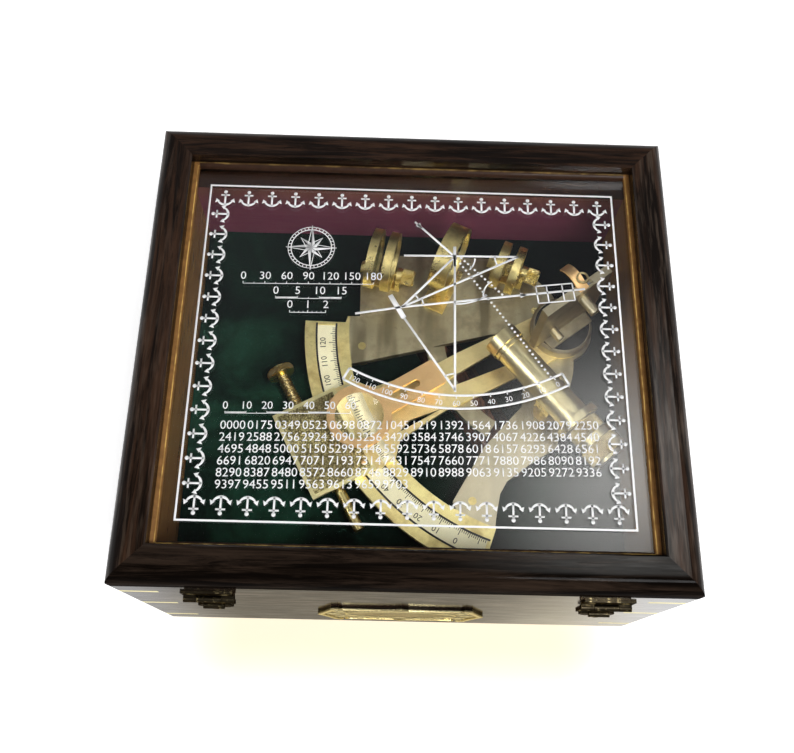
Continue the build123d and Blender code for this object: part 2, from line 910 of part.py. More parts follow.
handle_plane = Plane(
    origin=(*handle_middle, handle_height),
    x_dir=(math.cos(math.radians(handle_turn)), math.sin(math.radians(handle_turn)), 0),
    z_dir=(-math.sin(math.radians(handle_turn)), math.cos(math.radians(handle_turn)), 0),
)
with BuildPart() as sextant_handle:
    with BuildSketch(handle_plane):
        with BuildLine():
            half_grip = handle_length / 2
            Line((-half_grip, 0), (-half_grip, handle_end_radius))
            ThreePointArc(
                (-half_grip, handle_end_radius),
                (0, handle_radius),
                (half_grip, handle_end_radius),
            )
            Line((half_grip, handle_end_radius), (half_grip, 0))
            Line((half_grip, 0), (-half_grip, 0))
        make_face()
    revolve(axis=Axis((*handle_middle, handle_height), handle_plane.x_dir))
    add(handle_brackets.part, mode=Mode.SUBTRACT)
save(sextant_handle, "sextant_handle")

# ---- Index arm with its head, mirror and vernier plate
arm_side = arm_hub_side + [
    (limb_inner - arm_neck_drop, arm_neck_half),
    (limb_inner - arm_flare_drop, arm_flare_half),
    (arm_end, plate_half),
]


def mirrored(points):
    """Closed outline from points on one side of the arm's middle line."""
    return arm_points(points + [(s, -t) for s, t in reversed(points)])


with BuildPart() as index_arm:
    with BuildSketch(Plane.XY.offset(arm_low)):
        outline_face(mirrored(arm_side))
        with Locations((pivot_x, pivot_y)):
            Circle(disc_radius)
        outline_face(mirrored(arm_slot), Mode.SUBTRACT)
        for side in (-1, 1):
            outline_face(arm_points([(s, side * t) for s, t in side_window]), Mode.SUBTRACT)
    extrude(amount=arm_thickness)
    with Locations((pivot_x, pivot_y, arm_low)):
        Cylinder(centre_radius, arm_thickness * 4, mode=Mode.SUBTRACT)
save(index_arm, "index_arm")

hub_low = frame_low - hub_drop
drum_top = arm_top + drum_height
nut_top = hub_low - nut_gap
with BuildPart() as index_head:
    with BuildSketch(Plane.XY.offset(arm_top)):
        with Locations((pivot_x, pivot_y)):
            Circle(drum_radius)
    extrude(amount=drum_height - drum_chamfer)
    with BuildSketch(Plane.XY.offset(drum_top - drum_chamfer)):
        with Locations((pivot_x, pivot_y)):
            Circle(drum_radius)
    with BuildSketch(Plane.XY.offset(drum_top)):
        with Locations((pivot_x, pivot_y)):
            Circle(drum_radius - drum_chamfer)
    loft()
    cylinder_between((pivot_x, pivot_y, nut_top), (pivot_x, pivot_y, arm_top), centre_radius)
    cylinder_between((pivot_x, pivot_y, nut_top - nut_thickness), (pivot_x, pivot_y, nut_top), nut_radius)
save(index_head, "index_head")

mirror_cos = math.cos(math.radians(mirror_angle))
mirror_sin = math.sin(math.radians(mirror_angle))


def mirror_point(along, forward, height):
    """Point beside the pivot: along the mirror, out of its silvered face, and up."""
    return (
        pivot_x + along * mirror_cos - forward * mirror_sin,
        pivot_y + along * mirror_sin + forward * mirror_cos,
        height,
    )


def mirror_block(along, forward, low, width, depth, height, mode=Mode.ADD):
    place = mirror_point(along, forward, low + height / 2)
    with Locations(Location(place, (0, 0, mirror_angle))):
        Box(width, depth, height, mode=mode)


bracket_low = drum_top
mirror_low = bracket_low + bracket_base
bracket_top = glass_top - glass_thickness - mirror_headroom - clip_thickness
mirror_height = bracket_top - mirror_low
upper_screw_height = bracket_top - upper_screw_drop
lower_screw_height = bracket_low + lower_screw_rise
back_screws = [
    (upper_screw_place, upper_screw_height, upper_screw_radius, upper_screw_length),
    (lower_screw_place, lower_screw_height, lower_screw_radius, lower_screw_length),
]
with BuildPart() as index_mirror_bracket:
    mirror_block(
        0, -bracket_foot_back, bracket_low, bracket_foot_width, bracket_foot_depth, bracket_base
    )
    plate_height = mirror_height + bracket_base
    mirror_block(0, -bracket_plate / 2, bracket_low, bracket_width, bracket_plate, plate_height)
    strip_width = mirror_glass + bracket_plate
    strip_middle = strip_width / 2 - bracket_plate
    mirror_block(0, strip_middle, bracket_top, bracket_width, strip_width, clip_thickness)
    for side in (-1, 1):
        lip = side * (mirror_width + lip_width) / 2
        mirror_block(lip, mirror_glass / 2, bracket_low, lip_width, mirror_glass, plate_height)
    mirror_block(
        clip_notch_place,
        strip_middle,
        bracket_top,
        clip_notch_length,
        clip_notch_width,
        clip_thickness,
        Mode.SUBTRACT,
    )
    for along, height, radius, length in back_screws:
        cylinder_between(
            mirror_point(along, -bracket_plate, height),
            mirror_point(along, -bracket_plate - length, height),
            radius,
        )
save(index_mirror_bracket, "index_mirror_bracket")

with BuildPart() as index_mirror:
    mirror_block(0, mirror_glass / 2, mirror_low, mirror_width, mirror_glass, mirror_height)
save(index_mirror, "index_mirror")

screw_height = arm_top - tangent_drop
with BuildPart() as vernier_plate:
    with BuildSketch(Plane.XY.offset(arm_top)):
        plate_corners = [
            (plate_start, -plate_half),
            (plate_end, -plate_half),
            (plate_end, plate_half),
            (plate_start, plate_half),
        ]
        outline_face(arm_points(plate_corners))
    extrude(amount=plate_thickness)
    for block_t in (-block_offset, block_offset):
        with BuildSketch(Plane.XY.offset(screw_height - collar_radius)):
            block_corners = [
                (screw_distance - block_width / 2, block_t - block_length / 2),
                (screw_distance + block_width / 2, block_t - block_length / 2),
                (screw_distance + block_width / 2, block_t + block_length / 2),
                (screw_distance - block_width / 2, block_t + block_length / 2),
            ]
            outline_face(arm_points(block_corners))
        extrude(amount=arm_top - screw_height + collar_radius)
    bore_start = (*arm_point(screw_distance, tangent_start), screw_height)
    bore_end = (*arm_point(screw_distance, tangent_end), screw_height)
    cylinder_between(bore_start, bore_end, tangent_radius + running_gap, mode=Mode.SUBTRACT)
save(vernier_plate, "vernier_plate")


def on_screw(t):
    return (*arm_point(screw_distance, t), screw_height)


with BuildPart() as tangent_screw:
    cylinder_between(on_screw(tangent_start), on_screw(tangent_end), tangent_radius)
    cylinder_between(on_screw(tangent_start - knob_thickness), on_screw(tangent_start), knob_radius)
    collar_step = block_length / 2 + knuckle_gap
    for side in (-1, 1):
        near = -block_offset + side * collar_step
        far = near + side * collar_length
        cylinder_between(on_screw(near), on_screw(far), collar_radius)
save(tangent_screw, "tangent_screw")

# ---- Magnifier
magnifier_low = arm_top + magnifier_lift
magnifier_top = magnifier_low + magnifier_thickness
swing = arm_point(magnifier_pivot_s, magnifier_pivot_t)
reach_turn = math.radians(arm_angle + magnifier_turn)
reach_x = math.cos(reach_turn)
reach_y = math.sin(reach_turn)


def on_magnifier(distance, height):
    return (swing[0] + distance * reach_x, swing[1] + distance * reach_y, height)


post_top = magnifier_low - magnifier_post_gap
with BuildPart() as magnifier_pivot:
    cylinder_between((*swing, arm_top), (*swing, post_top), magnifier_post_radius)
    cylinder_between((*swing, post_top), (*swing, magnifier_top), magnifier_pin_radius)
save(magnifier_pivot, "magnifier_pivot")

with BuildPart() as magnifier_arm:
    with BuildSketch(Plane.XY.offset(magnifier_low)):
        turned = (0, 0, arm_angle + magnifier_turn)
        bar_middle = on_magnifier((magnifier_reach - magnifier_tail) / 2, 0)
        with Locations(Location(bar_middle, turned)):
            RectangleRounded(magnifier_reach + magnifier_tail, magnifier_width, magnifier_corner)
        with Locations(on_magnifier(magnifier_reach, 0)):
            Circle(magnifier_outer)
            Circle(magnifier_bore, mode=Mode.SUBTRACT)
        with Locations(Location(on_magnifier(slot_centre, 0), turned)):
            SlotOverall(slot_length, slot_width, mode=Mode.SUBTRACT)
        with Locations((*swing, 0)):
            Circle(magnifier_pin_radius + running_gap, mode=Mode.SUBTRACT)
    extrude(amount=magnifier_thickness)
save(magnifier_arm, "magnifier_arm")

lens_curve = (magnifier_bore**2 + lens_bulge**2) / (2 * lens_bulge)
lens_spread = math.degrees(math.asin(magnifier_bore / lens_curve))
with BuildPart() as magnifier_lens:
    lens_spot = on_magnifier(magnifier_reach, magnifier_low)
    with BuildSketch(facing(*lens_spot, (0, -1, 0), (1, 0, 0))):
        with BuildLine():
            lens_top = magnifier_thickness + lens_bulge
            CenterArc((0, lens_top - lens_curve), lens_curve, 90 - lens_spread, lens_spread)
            CenterArc((0, lens_curve - lens_bulge), lens_curve, 270, lens_spread)
            Line((magnifier_bore, 0), (magnifier_bore, magnifier_thickness))
            Line((0, -lens_bulge), (0, lens_top))
        make_face()
    revolve(axis=Axis(lens_spot, (0, 0, 1)))
save(magnifier_lens, "magnifier_lens")

# ---- Horizon mirror in its round cell
horizon_cos = math.cos(math.radians(horizon_angle))
horizon_sin = math.sin(math.radians(horizon_angle))
horizon_height = frame_top + horizon_centre_lift


def on_horizon(forward, height):
    return (horizon_x + forward * horizon_cos, horizon_y + forward * horizon_sin, height)


with BuildPart() as horizon_mirror_cell:
    cylinder_between(
        on_horizon(-cell_depth / 2, horizon_height),
        on_horizon(cell_depth / 2, horizon_height),
        cell_radius,
    )
    stem_middle = on_horizon(0, frame_top + horizon_centre_lift / 2)
    with Locations(Location(stem_middle, (0, 0, horizon_angle))):
        Box(cell_stem_depth, cell_stem, horizon_centre_lift)
    foot_shift = (cell_foot_back - cell_foot_front) / 2
    foot_middle = (
        horizon_x - foot_shift * horizon_sin,
        horizon_y + foot_shift * horizon_cos,
        frame_top + base_thickness / 2,
    )
    with Locations(Location(foot_middle, (0, 0, horizon_angle))):
        Box(cell_foot_width, cell_foot_front + cell_foot_back, base_thickness)
    cylinder_between(
        on_horizon(-cell_depth / 2 + cell_back, horizon_height),
        on_horizon(cell_depth, horizon_height),
        cell_bore,
        mode=Mode.SUBTRACT,
    )
save(horizon_mirror_cell, "horizon_mirror_cell")

with BuildPart() as horizon_mirror:
    cylinder_between(
        on_horizon(-cell_depth / 2 + cell_back, horizon_height),
        on_horizon(cell_depth / 2 - mirror_setback, horizon_height),
        cell_bore,
    )
save(horizon_mirror, "horizon_mirror")


# ---- Shades on their pins
class ShadeSet:
    """Two shades side by side on one horizontal pin; q runs along the pin."""

    def __init__(self, place, angle, offset, rise, radius, pitch, thickness):
        centre = seated([place])[0]
        self.turn = angle
        self.axis = (math.cos(math.radians(angle)), math.sin(math.radians(angle)))
        self.away = (-self.axis[1], self.axis[0])
        self.pin = (centre[0] + offset * self.away[0], centre[1] + offset * self.away[1])
        self.offset = offset
        self.rise = rise
        self.radius = radius
        self.pitch = pitch
        self.thickness = thickness

    def at(self, q, away, rise):
        return (
            self.pin[0] + q * self.axis[0] + away * self.away[0],
            self.pin[1] + q * self.axis[1] + away * self.away[1],
            frame_top + shade_axis_lift + rise,
        )

    def bar(self, start, end, away, rise, radius, mode=Mode.ADD):
        cylinder_between(self.at(start, away, rise), self.at(end, away, rise), radius, mode)

    def ring(self, q):
        half = self.thickness / 2
        rise = self.rise
        with BuildPart() as shade:
            self.bar(q - half, q + half, -self.offset, rise, self.radius)
            self.bar(q - half, q + half, 0, 0, shade_eye)
            lean = math.degrees(math.atan2(rise, -self.offset))
            web_plane = Plane(
                origin=self.at(q - half, -self.offset / 2, rise / 2),
                z_dir=(*self.axis, 0),
                x_dir=(*self.away, 0),
            )
            with BuildSketch(web_plane):
                with Locations(Location((0, 0, 0), (0, 0, lean))):
                    Rectangle(math.hypot(rise, self.offset), shade_eye * 1.6)
            extrude(amount=self.thickness)
            far = self.thickness
            self.bar(q - far, q + far, -self.offset, rise, self.radius - shade_rim, Mode.SUBTRACT)
            self.bar(q - far, q + far, 0, 0, shade_pin_radius + running_gap, Mode.SUBTRACT)
        return shade

    def glass(self, q):
        with BuildPart() as pane:
            half = shade_glass / 2
            self.bar(q - half, q + half, -self.offset, self.rise, self.radius - shade_rim)
        return pane

    def post(self):
        """Base, two ears, the pin with its knob and nut, and the washer between the shades."""
        half = self.thickness / 2
        left = -self.pitch - half - ear_gap - ear_thickness
        right = half + ear_gap
        with BuildPart() as post:
            for ear in (left, right):
                self.bar(ear, ear + ear_thickness, 0, 0, ear_width / 2)
                ear_place = self.at(ear + ear_thickness / 2, 0, -shade_axis_lift / 2)
                with Locations(Location(ear_place, (0, 0, self.turn))):
                    Box(ear_thickness, ear_width, shade_axis_lift)
            base_length = right + ear_thickness - left
            base_place = self.at(left + base_length / 2, 0, base_thickness / 2 - shade_axis_lift)
            with Locations(Location(base_place, (0, 0, self.turn))):
                Box(base_length, ear_width, base_thickness)
            self.bar(left - shade_nut_length, left, 0, 0, shade_nut_radius)
            self.bar(left, right + ear_thickness, 0, 0, shade_pin_radius)
            knob_start = right + ear_thickness
            self.bar(knob_start, knob_start + shade_knob_length, 0, 0, shade_knob_radius)
        with BuildPart() as washer:
            self.bar(-self.pitch + half + ear_gap, -half - ear_gap, 0, 0, shade_eye)
            self.bar(-self.pitch, 0, 0, 0, shade_pin_radius, Mode.SUBTRACT)
        return post.part, washer.part


horizon_shades = ShadeSet(
    horizon_shade_place,
    horizon_shade_turn,
    horizon_shade_offset,
    horizon_shade_rise,
    horizon_shade_radius,
    horizon_shade_pitch,
    horizon_shade_thickness,
)
index_shades = ShadeSet(
    index_shade_place,
    index_shade_turn,
    index_shade_offset,
    index_shade_rise,
    index_shade_radius,
    index_shade_pitch,
    index_shade_thickness,
)

for name, shades in (("horizon_shade", horizon_shades), ("index_shade", index_shades)):
    for number, q in ((1, -shades.pitch), (2, 0)):
        save(shades.ring(q), name + "_" + str(number) + "_ring")
        save(shades.glass(q), name + "_" + str(number) + "_glass")

with BuildPart() as shade_posts:
    for shades in (horizon_shades, index_shades):
        post, washer = shades.post()
        add(post)
        add(washer)
save(shade_posts, "shade_posts")

# ---- Telescope
scope_cos = math.cos(math.radians(scope_angle))
scope_sin = math.sin(math.radians(scope_angle))
scope_height = frame_top + scope_lift


def on_scope(distance, drop=0):
    return (scope_x + distance * scope_cos, scope_y + distance * scope_sin, scope_height - drop)


def scope_steps(steps, mode=Mode.ADD):
    for start, end, radius in steps:
        cylinder_between(on_scope(start), on_scope(end), radius, mode)


flange_end = tube_length + flange_length
collar_start = objective_length + collar_gap
lens_end = lens_setback + lens_thickness
with BuildPart() as telescope_tube:
    scope_steps([
        (0, objective_length, objective_radius),
        (objective_length, tube_length, tube_radius),
        (collar_start, collar_start + tube_collar_length, tube_radius + tube_collar_height),
        (tube_length, flange_end, flange_radius),
    ])
    scope_steps([
        (-lens_setback, lens_setback, lens_radius - lens_lip),
        (lens_setback, lens_end, lens_radius),
        (lens_end, flange_end + flange_length, tube_bore),
    ], Mode.SUBTRACT)
save(telescope_tube, "telescope_tube")

with BuildPart() as telescope_objective:
    scope_steps([(lens_setback, lens_end, lens_radius)])
save(telescope_objective, "telescope_objective")

draw_start = flange_end + draw_stop_gap
neck_end = draw_start + neck_length
with BuildPart() as telescope_draw:
    scope_steps([
        (tube_length - draw_insert, draw_start, tube_bore - draw_gap),
        (draw_start, neck_end, eyepiece_neck),
        (neck_end, scope_length, eyepiece_radius),
    ])
    scope_steps([
        (0, scope_length - eye_depth, tube_bore - draw_wall),
        (scope_length - eye_depth, scope_length + eye_depth, eye_radius),
    ], Mode.SUBTRACT)
save(telescope_draw, "telescope_draw")

with BuildPart() as telescope_bracket:
    saddle_top = scope_height - tube_radius * saddle_wrap
    saddle_low = scope_height - tube_radius - saddle_thickness
    saddle_spot = (*on_scope(saddle_place)[:2], (saddle_top + saddle_low) / 2)
    with Locations(Location(saddle_spot, (0, 0, scope_angle))):
        Box(saddle_length, saddle_width, saddle_top - saddle_low)
    stem_spot = on_scope(saddle_place)[:2]
    cylinder_between((*stem_spot, frame_top), (*stem_spot, saddle_low), stem_radius)
    stem_foot = (*stem_spot, frame_top + base_thickness)
    cylinder_between((*stem_spot, frame_top), stem_foot, stem_radius + foot_flange)
    scope_steps([(0, scope_length, tube_radius)], Mode.SUBTRACT)
save(telescope_bracket, "telescope_bracket")
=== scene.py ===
import math

import bmesh
import bpy
import numpy as np
from mathutils import Matrix, Vector


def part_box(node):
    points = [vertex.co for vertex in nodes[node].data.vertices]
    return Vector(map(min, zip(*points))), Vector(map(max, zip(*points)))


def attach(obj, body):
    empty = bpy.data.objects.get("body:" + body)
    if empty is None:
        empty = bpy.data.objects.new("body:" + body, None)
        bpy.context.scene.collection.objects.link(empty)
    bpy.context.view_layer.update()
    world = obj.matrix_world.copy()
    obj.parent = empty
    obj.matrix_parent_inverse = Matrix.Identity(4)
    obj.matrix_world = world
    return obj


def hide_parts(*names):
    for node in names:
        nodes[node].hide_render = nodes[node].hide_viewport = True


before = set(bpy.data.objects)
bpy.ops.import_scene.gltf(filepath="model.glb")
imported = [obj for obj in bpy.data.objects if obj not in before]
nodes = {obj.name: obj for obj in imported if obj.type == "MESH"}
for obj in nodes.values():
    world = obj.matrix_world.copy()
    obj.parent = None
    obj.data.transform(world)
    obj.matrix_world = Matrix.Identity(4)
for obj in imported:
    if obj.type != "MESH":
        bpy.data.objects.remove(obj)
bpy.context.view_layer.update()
mm = 0.001
print("frame loaded:", len(nodes), "nodes")


# ---------- meshes
def gridFaces(rows, columns, wrapRows=False, wrapColumns=False):
    # quads joining point (i, j) to its neighbours on a grid of rows x columns
    index = np.arange(rows * columns).reshape(rows, columns)
    if wrapRows:
        index = np.vstack([index, index[:1]])
    if wrapColumns:
        index = np.hstack([index, index[:, :1]])
    corners = [index[:-1, :-1], index[1:, :-1], index[1:, 1:], index[:-1, 1:]]
    return np.stack(corners, axis=-1).reshape(-1, 4).tolist()


def joinShapes(shapes):
    # one list of points and faces out of several
    points, faces, start = [], [], 0
    for part, partFaces in shapes:
        part = np.asarray(part, float)
        points.append(part)
        faces.extend([[i + start for i in face] for face in partFaces])
        start += len(part)
    return np.concatenate(points), faces


def weld(mesh, distance, turnOut=False):
    # joins points closer than the distance, and turns all faces outwards where asked
    work = bmesh.new()
    work.from_mesh(mesh)
    bmesh.ops.remove_doubles(work, verts=work.verts, dist=distance)
    if turnOut:
        bmesh.ops.recalc_face_normals(work, faces=work.faces)
    work.to_mesh(mesh)
    work.free()


def addObject(name, data):
    thing = bpy.data.objects.new(name, data)
    bpy.context.scene.collection.objects.link(thing)
    return thing


def addPiece(name, shapes, material, body, smoothAngle=35.0, thickness=0.0, closed=True):
    # one mesh from shapes given in millimetres, on its body
    points, faces = joinShapes(shapes)
    mesh = bpy.data.meshes.new(name)
    mesh.from_pydata((points * mm).tolist(), [], faces)
    weld(mesh, 2e-7, closed)
    mesh.polygons.foreach_set("use_smooth", np.ones(len(mesh.polygons), dtype=bool))
    mesh.set_sharp_from_angle(angle=math.radians(smoothAngle))
    mesh.materials.append(material)
    piece = addObject(name, mesh)
    if thickness:
        solid = piece.modifiers.new("thickness", "SOLIDIFY")
        solid.thickness = thickness * mm
        solid.offset = 1.0
    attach(piece, body)


def sideVectors(axis):
    # two unit vectors square to the axis and to each other
    axis = np.asarray(axis, float) / np.linalg.norm(axis)
    helper = np.array([0.0, 0.0, 1.0]) if abs(axis[2]) < 0.9 else np.array([1.0, 0.0, 0.0])
    first = np.cross(helper, axis)
    first /= np.linalg.norm(first)
    return axis, first, np.cross(axis, first)


def ringPoints(origin, axis, height, radius, angle):
    # point = origin + h * axis + r * (cos a * u + sin a * v), with u and v square to the axis and to each other
    axis, first, second = sideVectors(axis)
    points = (
        np.asarray(origin, float) + height[..., None] * axis
        + (radius * np.cos(angle))[..., None] * first + (radius * np.sin(angle))[..., None] * second
    )
    return points.reshape(-1, 3)


def turned(profile, origin, axis, around=72, teeth=0, toothDepth=0.0):
    # ring points with r' = r + depth * |cos(teeth * a / 2)| where the profile's third value is 1, r' = r elsewhere
    height, radius, toothed = np.asarray(profile, float).T[..., None]
    angle = np.linspace(0, 2 * np.pi, around, endpoint=False)
    radius = radius + toothDepth * np.abs(np.cos(teeth * angle / 2)) * toothed
    return ringPoints(origin, axis, height, radius, angle), gridFaces(len(profile), around, True, True)


def knurledSleeve(start, end, inner, outer, chamfer=0.3, plainEnd=0.35, steps=9):
    # closed ring profile: straight inner wall, toothed outer wall with plain chamfered ends
    heights = np.linspace(start + plainEnd, end - plainEnd, steps)
    outside = [[h, outer, 1.0] for h in heights]
    return [[start, inner, 0], [start, outer - chamfer, 0]] + outside + [[end, outer - chamfer, 0], [end, inner, 0]]


def flatStrip(line, width, closed=False):
    # a line widened to both sides: left and right edge = line +- width / 2 * its mean normal
    line = np.asarray(line, float)
    if closed:
        ahead, behind = np.roll(line, -1, axis=0), np.roll(line, 1, axis=0)
    else:
        ahead = np.vstack([line[1:], 2 * line[-1:] - line[-2:-1]])
        behind = np.vstack([2 * line[:1] - line[1:2], line[:-1]])
    before, after = line - behind, ahead - line
    before /= np.linalg.norm(before, axis=1, keepdims=True)
    after /= np.linalg.norm(after, axis=1, keepdims=True)
    middle = before + after
    middle /= np.linalg.norm(middle, axis=1, keepdims=True)
    normal = np.stack([-middle[:, 1], middle[:, 0]], axis=1)
    reach = width / 2 / np.clip((middle * before).sum(axis=1), 0.5, 1.0)
    left, right = line + normal * reach[:, None], line - normal * reach[:, None]
    points = np.stack([right, left], axis=1).reshape(-1, 2)
    return points, gridFaces(len(line), 2, closed, False)


def circlePoints(centre, radius, angle):
    return np.stack([centre[0] + radius * np.cos(angle), centre[1] + radius * np.sin(angle)], axis=1)


def arcLine(centre, radius, start, end, count=24):
    # points on a circle from one angle to another, in degrees
    return circlePoints(centre, radius, np.radians(np.linspace(start, end, count)))


def polar(degrees, radius=1.0, centre=(0.0, 0.0)):
    # point at an angle and a radius about a centre
    angle = math.radians(degrees)
    return np.array([centre[0] + radius * math.cos(angle), centre[1] + radius * math.sin(angle)])


def spoke(centre, degrees, near, far, width):
    # short line between two radii at one angle
    return flatStrip([polar(degrees, near, centre), polar(degrees, far, centre)], width)


def moved(shape, spot=(0, 0), turn=0.0, size=1.0):
    # flat shape scaled, turned by an angle in degrees and moved
    points, faces = shape
    c, s = polar(turn)
    points = np.asarray(points, float) * size
    return points @ np.array([[c, s], [-s, c]]) + np.asarray(spot, float), faces


def lineNormals(line, closed=False):
    # unit normals of a flat line, from its mean direction at each point
    tangent = np.roll(line, -1, axis=0) - np.roll(line, 1, axis=0) if closed else np.gradient(line, axis=0)
    tangent /= np.linalg.norm(tangent, axis=1, keepdims=True)
    return np.stack([-tangent[:, 1], tangent[:, 0]], axis=1)


def lifted(shape, height):
    # flat shape laid at one height
    points, faces = shape
    return np.column_stack([points, np.full(len(points), float(height))]), faces


def onPlane(shape, origin, across, up):
    # flat shape set on a plane: point = origin + x * across + y * up
    points, faces = shape
    points = np.asarray(points, float)
    across, up = np.asarray(across, float), np.asarray(up, float)
    return np.asarray(origin, float) + points[:, :1] * across + points[:, 1:] * up, faces


numberShapes = {}
figureRise = 0.7


def numberShape(words):
    # outline figures one unit high, centred, turned into a flat mesh once for each number
    if words not in numberShapes:
        curve = bpy.data.curves.new("figures", "FONT")
        curve.body = words
        curve.align_x = "CENTER"
        curve.align_y = "CENTER"
        curve.resolution_u = 3
        holder = bpy.data.objects.new("figures", curve)
        mesh = bpy.data.meshes.new_from_object(holder)
        points = np.zeros(len(mesh.vertices) * 3)
        mesh.vertices.foreach_get("co", points)
        faces = [list(face.vertices) for face in mesh.polygons]
        numberShapes[words] = (points.reshape(-1, 3)[:, :2] / figureRise, faces)
        bpy.data.objects.remove(holder)
        bpy.data.curves.remove(curve)
        bpy.data.meshes.remove(mesh)
    return numberShapes[words]


# ---------- shader graphs
class shaderGraph:
    # short calls on a node tree: each makes one node, feeds it and gives its output
    def __init__(self, tree):
        self.tree = tree

    def add(self, kind, **settings):
        node = self.tree.nodes.new("ShaderNode" + kind)
        for name, value in settings.items():
            setattr(node, name, value)
        return node

    def put(self, node, values):
        # a socket is joined to the input, a number or colour is set on the input itself
        for key, value in values.items():
            socket = node.inputs[key]
            if isinstance(value, bpy.types.NodeSocket):
                self.tree.links.new(value, socket)
            else:
                socket.default_value = (*value, 1.0) if socket.type == "RGBA" else value
        return node

    def noise(self, vector, scale, detail=4.0, roughness=0.55, distortion=0.0):
        values = {"Vector": vector, "Scale": scale, "Detail": detail, "Roughness": roughness, "Distortion": distortion}
        return self.put(self.add("TexNoise"), values).outputs["Fac"]

    def ramp(self, value, low, high, outLow=0.0, outHigh=1.0):
        # smooth step from one value to another
        values = {"Value": value, "From Min": low, "From Max": high, "To Min": outLow, "To Max": outHigh}
        return self.put(self.add("MapRange", interpolation_type="SMOOTHSTEP"), values).outputs["Result"]

    def math(self, operation, *values):
        return self.put(self.add("Math", operation=operation), dict(enumerate(values))).outputs[0]

    def times(self, first, second):
        return self.math("MULTIPLY", first, second)

    def plus(self, first, second):
        return self.math("ADD", first, second)

    def minus(self, first, second):
        return self.math("SUBTRACT", first, second)

    def larger(self, first, second):
        return self.math("MAXIMUM", first, second)

    def plain(self, value):
        return self.math("ABSOLUTE", value)

    def mix(self, factor, first, second):
        return self.put(self.add("Mix", data_type="RGBA"), {0: factor, 6: first, 7: second}).outputs[2]

    def axes(self, vector):
        return self.put(self.add("SeparateXYZ"), {0: vector}).outputs

    def mapped(self, vector, kind="POINT", **values):
        return self.put(self.add("Mapping", vector_type=kind), {"Vector": vector, **values}).outputs[0]

    def measure(self, operation, vector, *others):
        # vector node that gives a number, such as a length or a distance
        node = self.add("VectorMath", operation=operation)
        return self.put(node, dict(enumerate((vector, *others)))).outputs["Value"]

    def group(self, tree, vector, **values):
        return self.put(self.add("Group", node_tree=tree), {"Vector": vector, **values}).outputs

    def bump(self, shader, height, strength, distance):
        node = self.put(self.add("Bump"), {"Height": height, "Strength": strength, "Distance": distance})
        self.put(shader, {"Normal": node.outputs[0]})


def startGroup(name, inputs, outputs):
    tree = bpy.data.node_groups.new(name, "ShaderNodeTree")
    for label, value in inputs.items():
        kind = "Vector" if value is None else "Color" if isinstance(value, tuple) else "Float"
        socket = tree.interface.new_socket(label, in_out="INPUT", socket_type="NodeSocket" + kind)
        if value is not None:
            socket.default_value = (*value, 1) if kind == "Color" else value
    for label in outputs:
        kind = "Color" if label == "Color" else "Float"
        tree.interface.new_socket(label, in_out="OUTPUT", socket_type="NodeSocket" + kind)
    return shaderGraph(tree), tree.nodes.new("NodeGroupInput").outputs, tree.nodes.new("NodeGroupOutput")


deepWood, warmWood = (0.0051, 0.003, 0.002), (0.043, 0.0213, 0.0121)


def makeWoodGroup():
    # fine streaks along X: stretched noise picks between deep and warm, thin pores darken it,
    # and broad worn patches lighten it; made strong and grey, as on the front rail, they are partly a painted sheen
    inputs = {"Vector": None, "Deep": deepWood, "Warm": warmWood, "Worn": (0.24, 0.17, 0.12), "Wear": 0.3}
    g, start, end = startGroup("woodStreaks", inputs, ("Color", "Height", "Roughness"))
    vector = start["Vector"]
    broad = g.ramp(g.noise(vector, 180.0, 6.0, 0.72, 0.6), 0.40, 0.70)
    fine = g.ramp(g.noise(vector, 480.0, 3.0, 0.6), 0.45, 0.7)
    pores = g.ramp(g.noise(vector, 900.0, 2.0, 0.5), 0.6, 0.72)
    patches = g.ramp(g.noise(vector, 16.0, 3.0, 0.5), 0.45, 0.75)
    wearAndSheen = g.times(g.times(fine, patches), start["Wear"])
    colour = g.mix(wearAndSheen, g.mix(broad, start["Deep"], start["Warm"]), start["Worn"])
    g.put(end, {
        "Color": g.mix(g.times(pores, 0.6), colour, (0.005, 0.003, 0.002)),
        "Height": g.plus(g.times(fine, 0.5), g.times(pores, -0.8)),
        "Roughness": g.plus(0.26, g.times(wearAndSheen, 0.5)),
    })
    return g.tree


def makeMetalGroup():
    # clean colour dulled by soft blotches, with fine scratches in height and roughness
    inputs = {"Vector": None, "Clean": (0.8, 0.6, 0.3), "Dull": (0.4, 0.3, 0.15), "Amount": 0.5, "Polish": 0.22}
    g, start, end = startGroup("agedMetal", inputs, ("Color", "Height", "Roughness"))
    vector = start["Vector"]
    blotch = g.ramp(g.noise(vector, 55.0, 4.0, 0.6), 0.42, 0.74)
    speck = g.ramp(g.noise(vector, 800.0, 2.0, 0.5), 0.58, 0.78)
    dull = g.times(g.larger(blotch, g.times(speck, 0.5)), start["Amount"])
    brushed = g.mapped(vector, Scale=(1.0, 14.0, 3.0), Rotation=(0.2, 0.1, 0.5))
    scratch = g.ramp(g.noise(brushed, 260.0, 2.0, 0.7), 0.5, 0.8)
    rough = g.plus(start["Polish"], g.times(dull, 0.3))
    g.put(end, {
        "Color": g.mix(dull, start["Clean"], start["Dull"]),
        "Height": scratch,
        "Roughness": g.plus(rough, g.times(scratch, 0.1)),
    })
    return g.tree


caseHollow = {"halfWidth": 0.12302, "halfDepth": 0.10902, "riseFrom": 0.082, "riseTo": 0.104}


def makeCaseInsideGroup():
    # mask of the faces that look into the case, from |x| and |y|, and a fade up their height
    g, start, end = startGroup("caseInside", {"Vector": None}, ("Inside", "Rise"))
    x, y, z = g.axes(start["Vector"])
    insideX = g.math("LESS_THAN", g.plain(x), caseHollow["halfWidth"])
    insideY = g.math("LESS_THAN", g.plain(y), caseHollow["halfDepth"])
    rise = g.ramp(z, caseHollow["riseFrom"], caseHollow["riseTo"])
    g.put(end, {"Inside": g.times(insideX, insideY), "Rise": rise})
    return g.tree


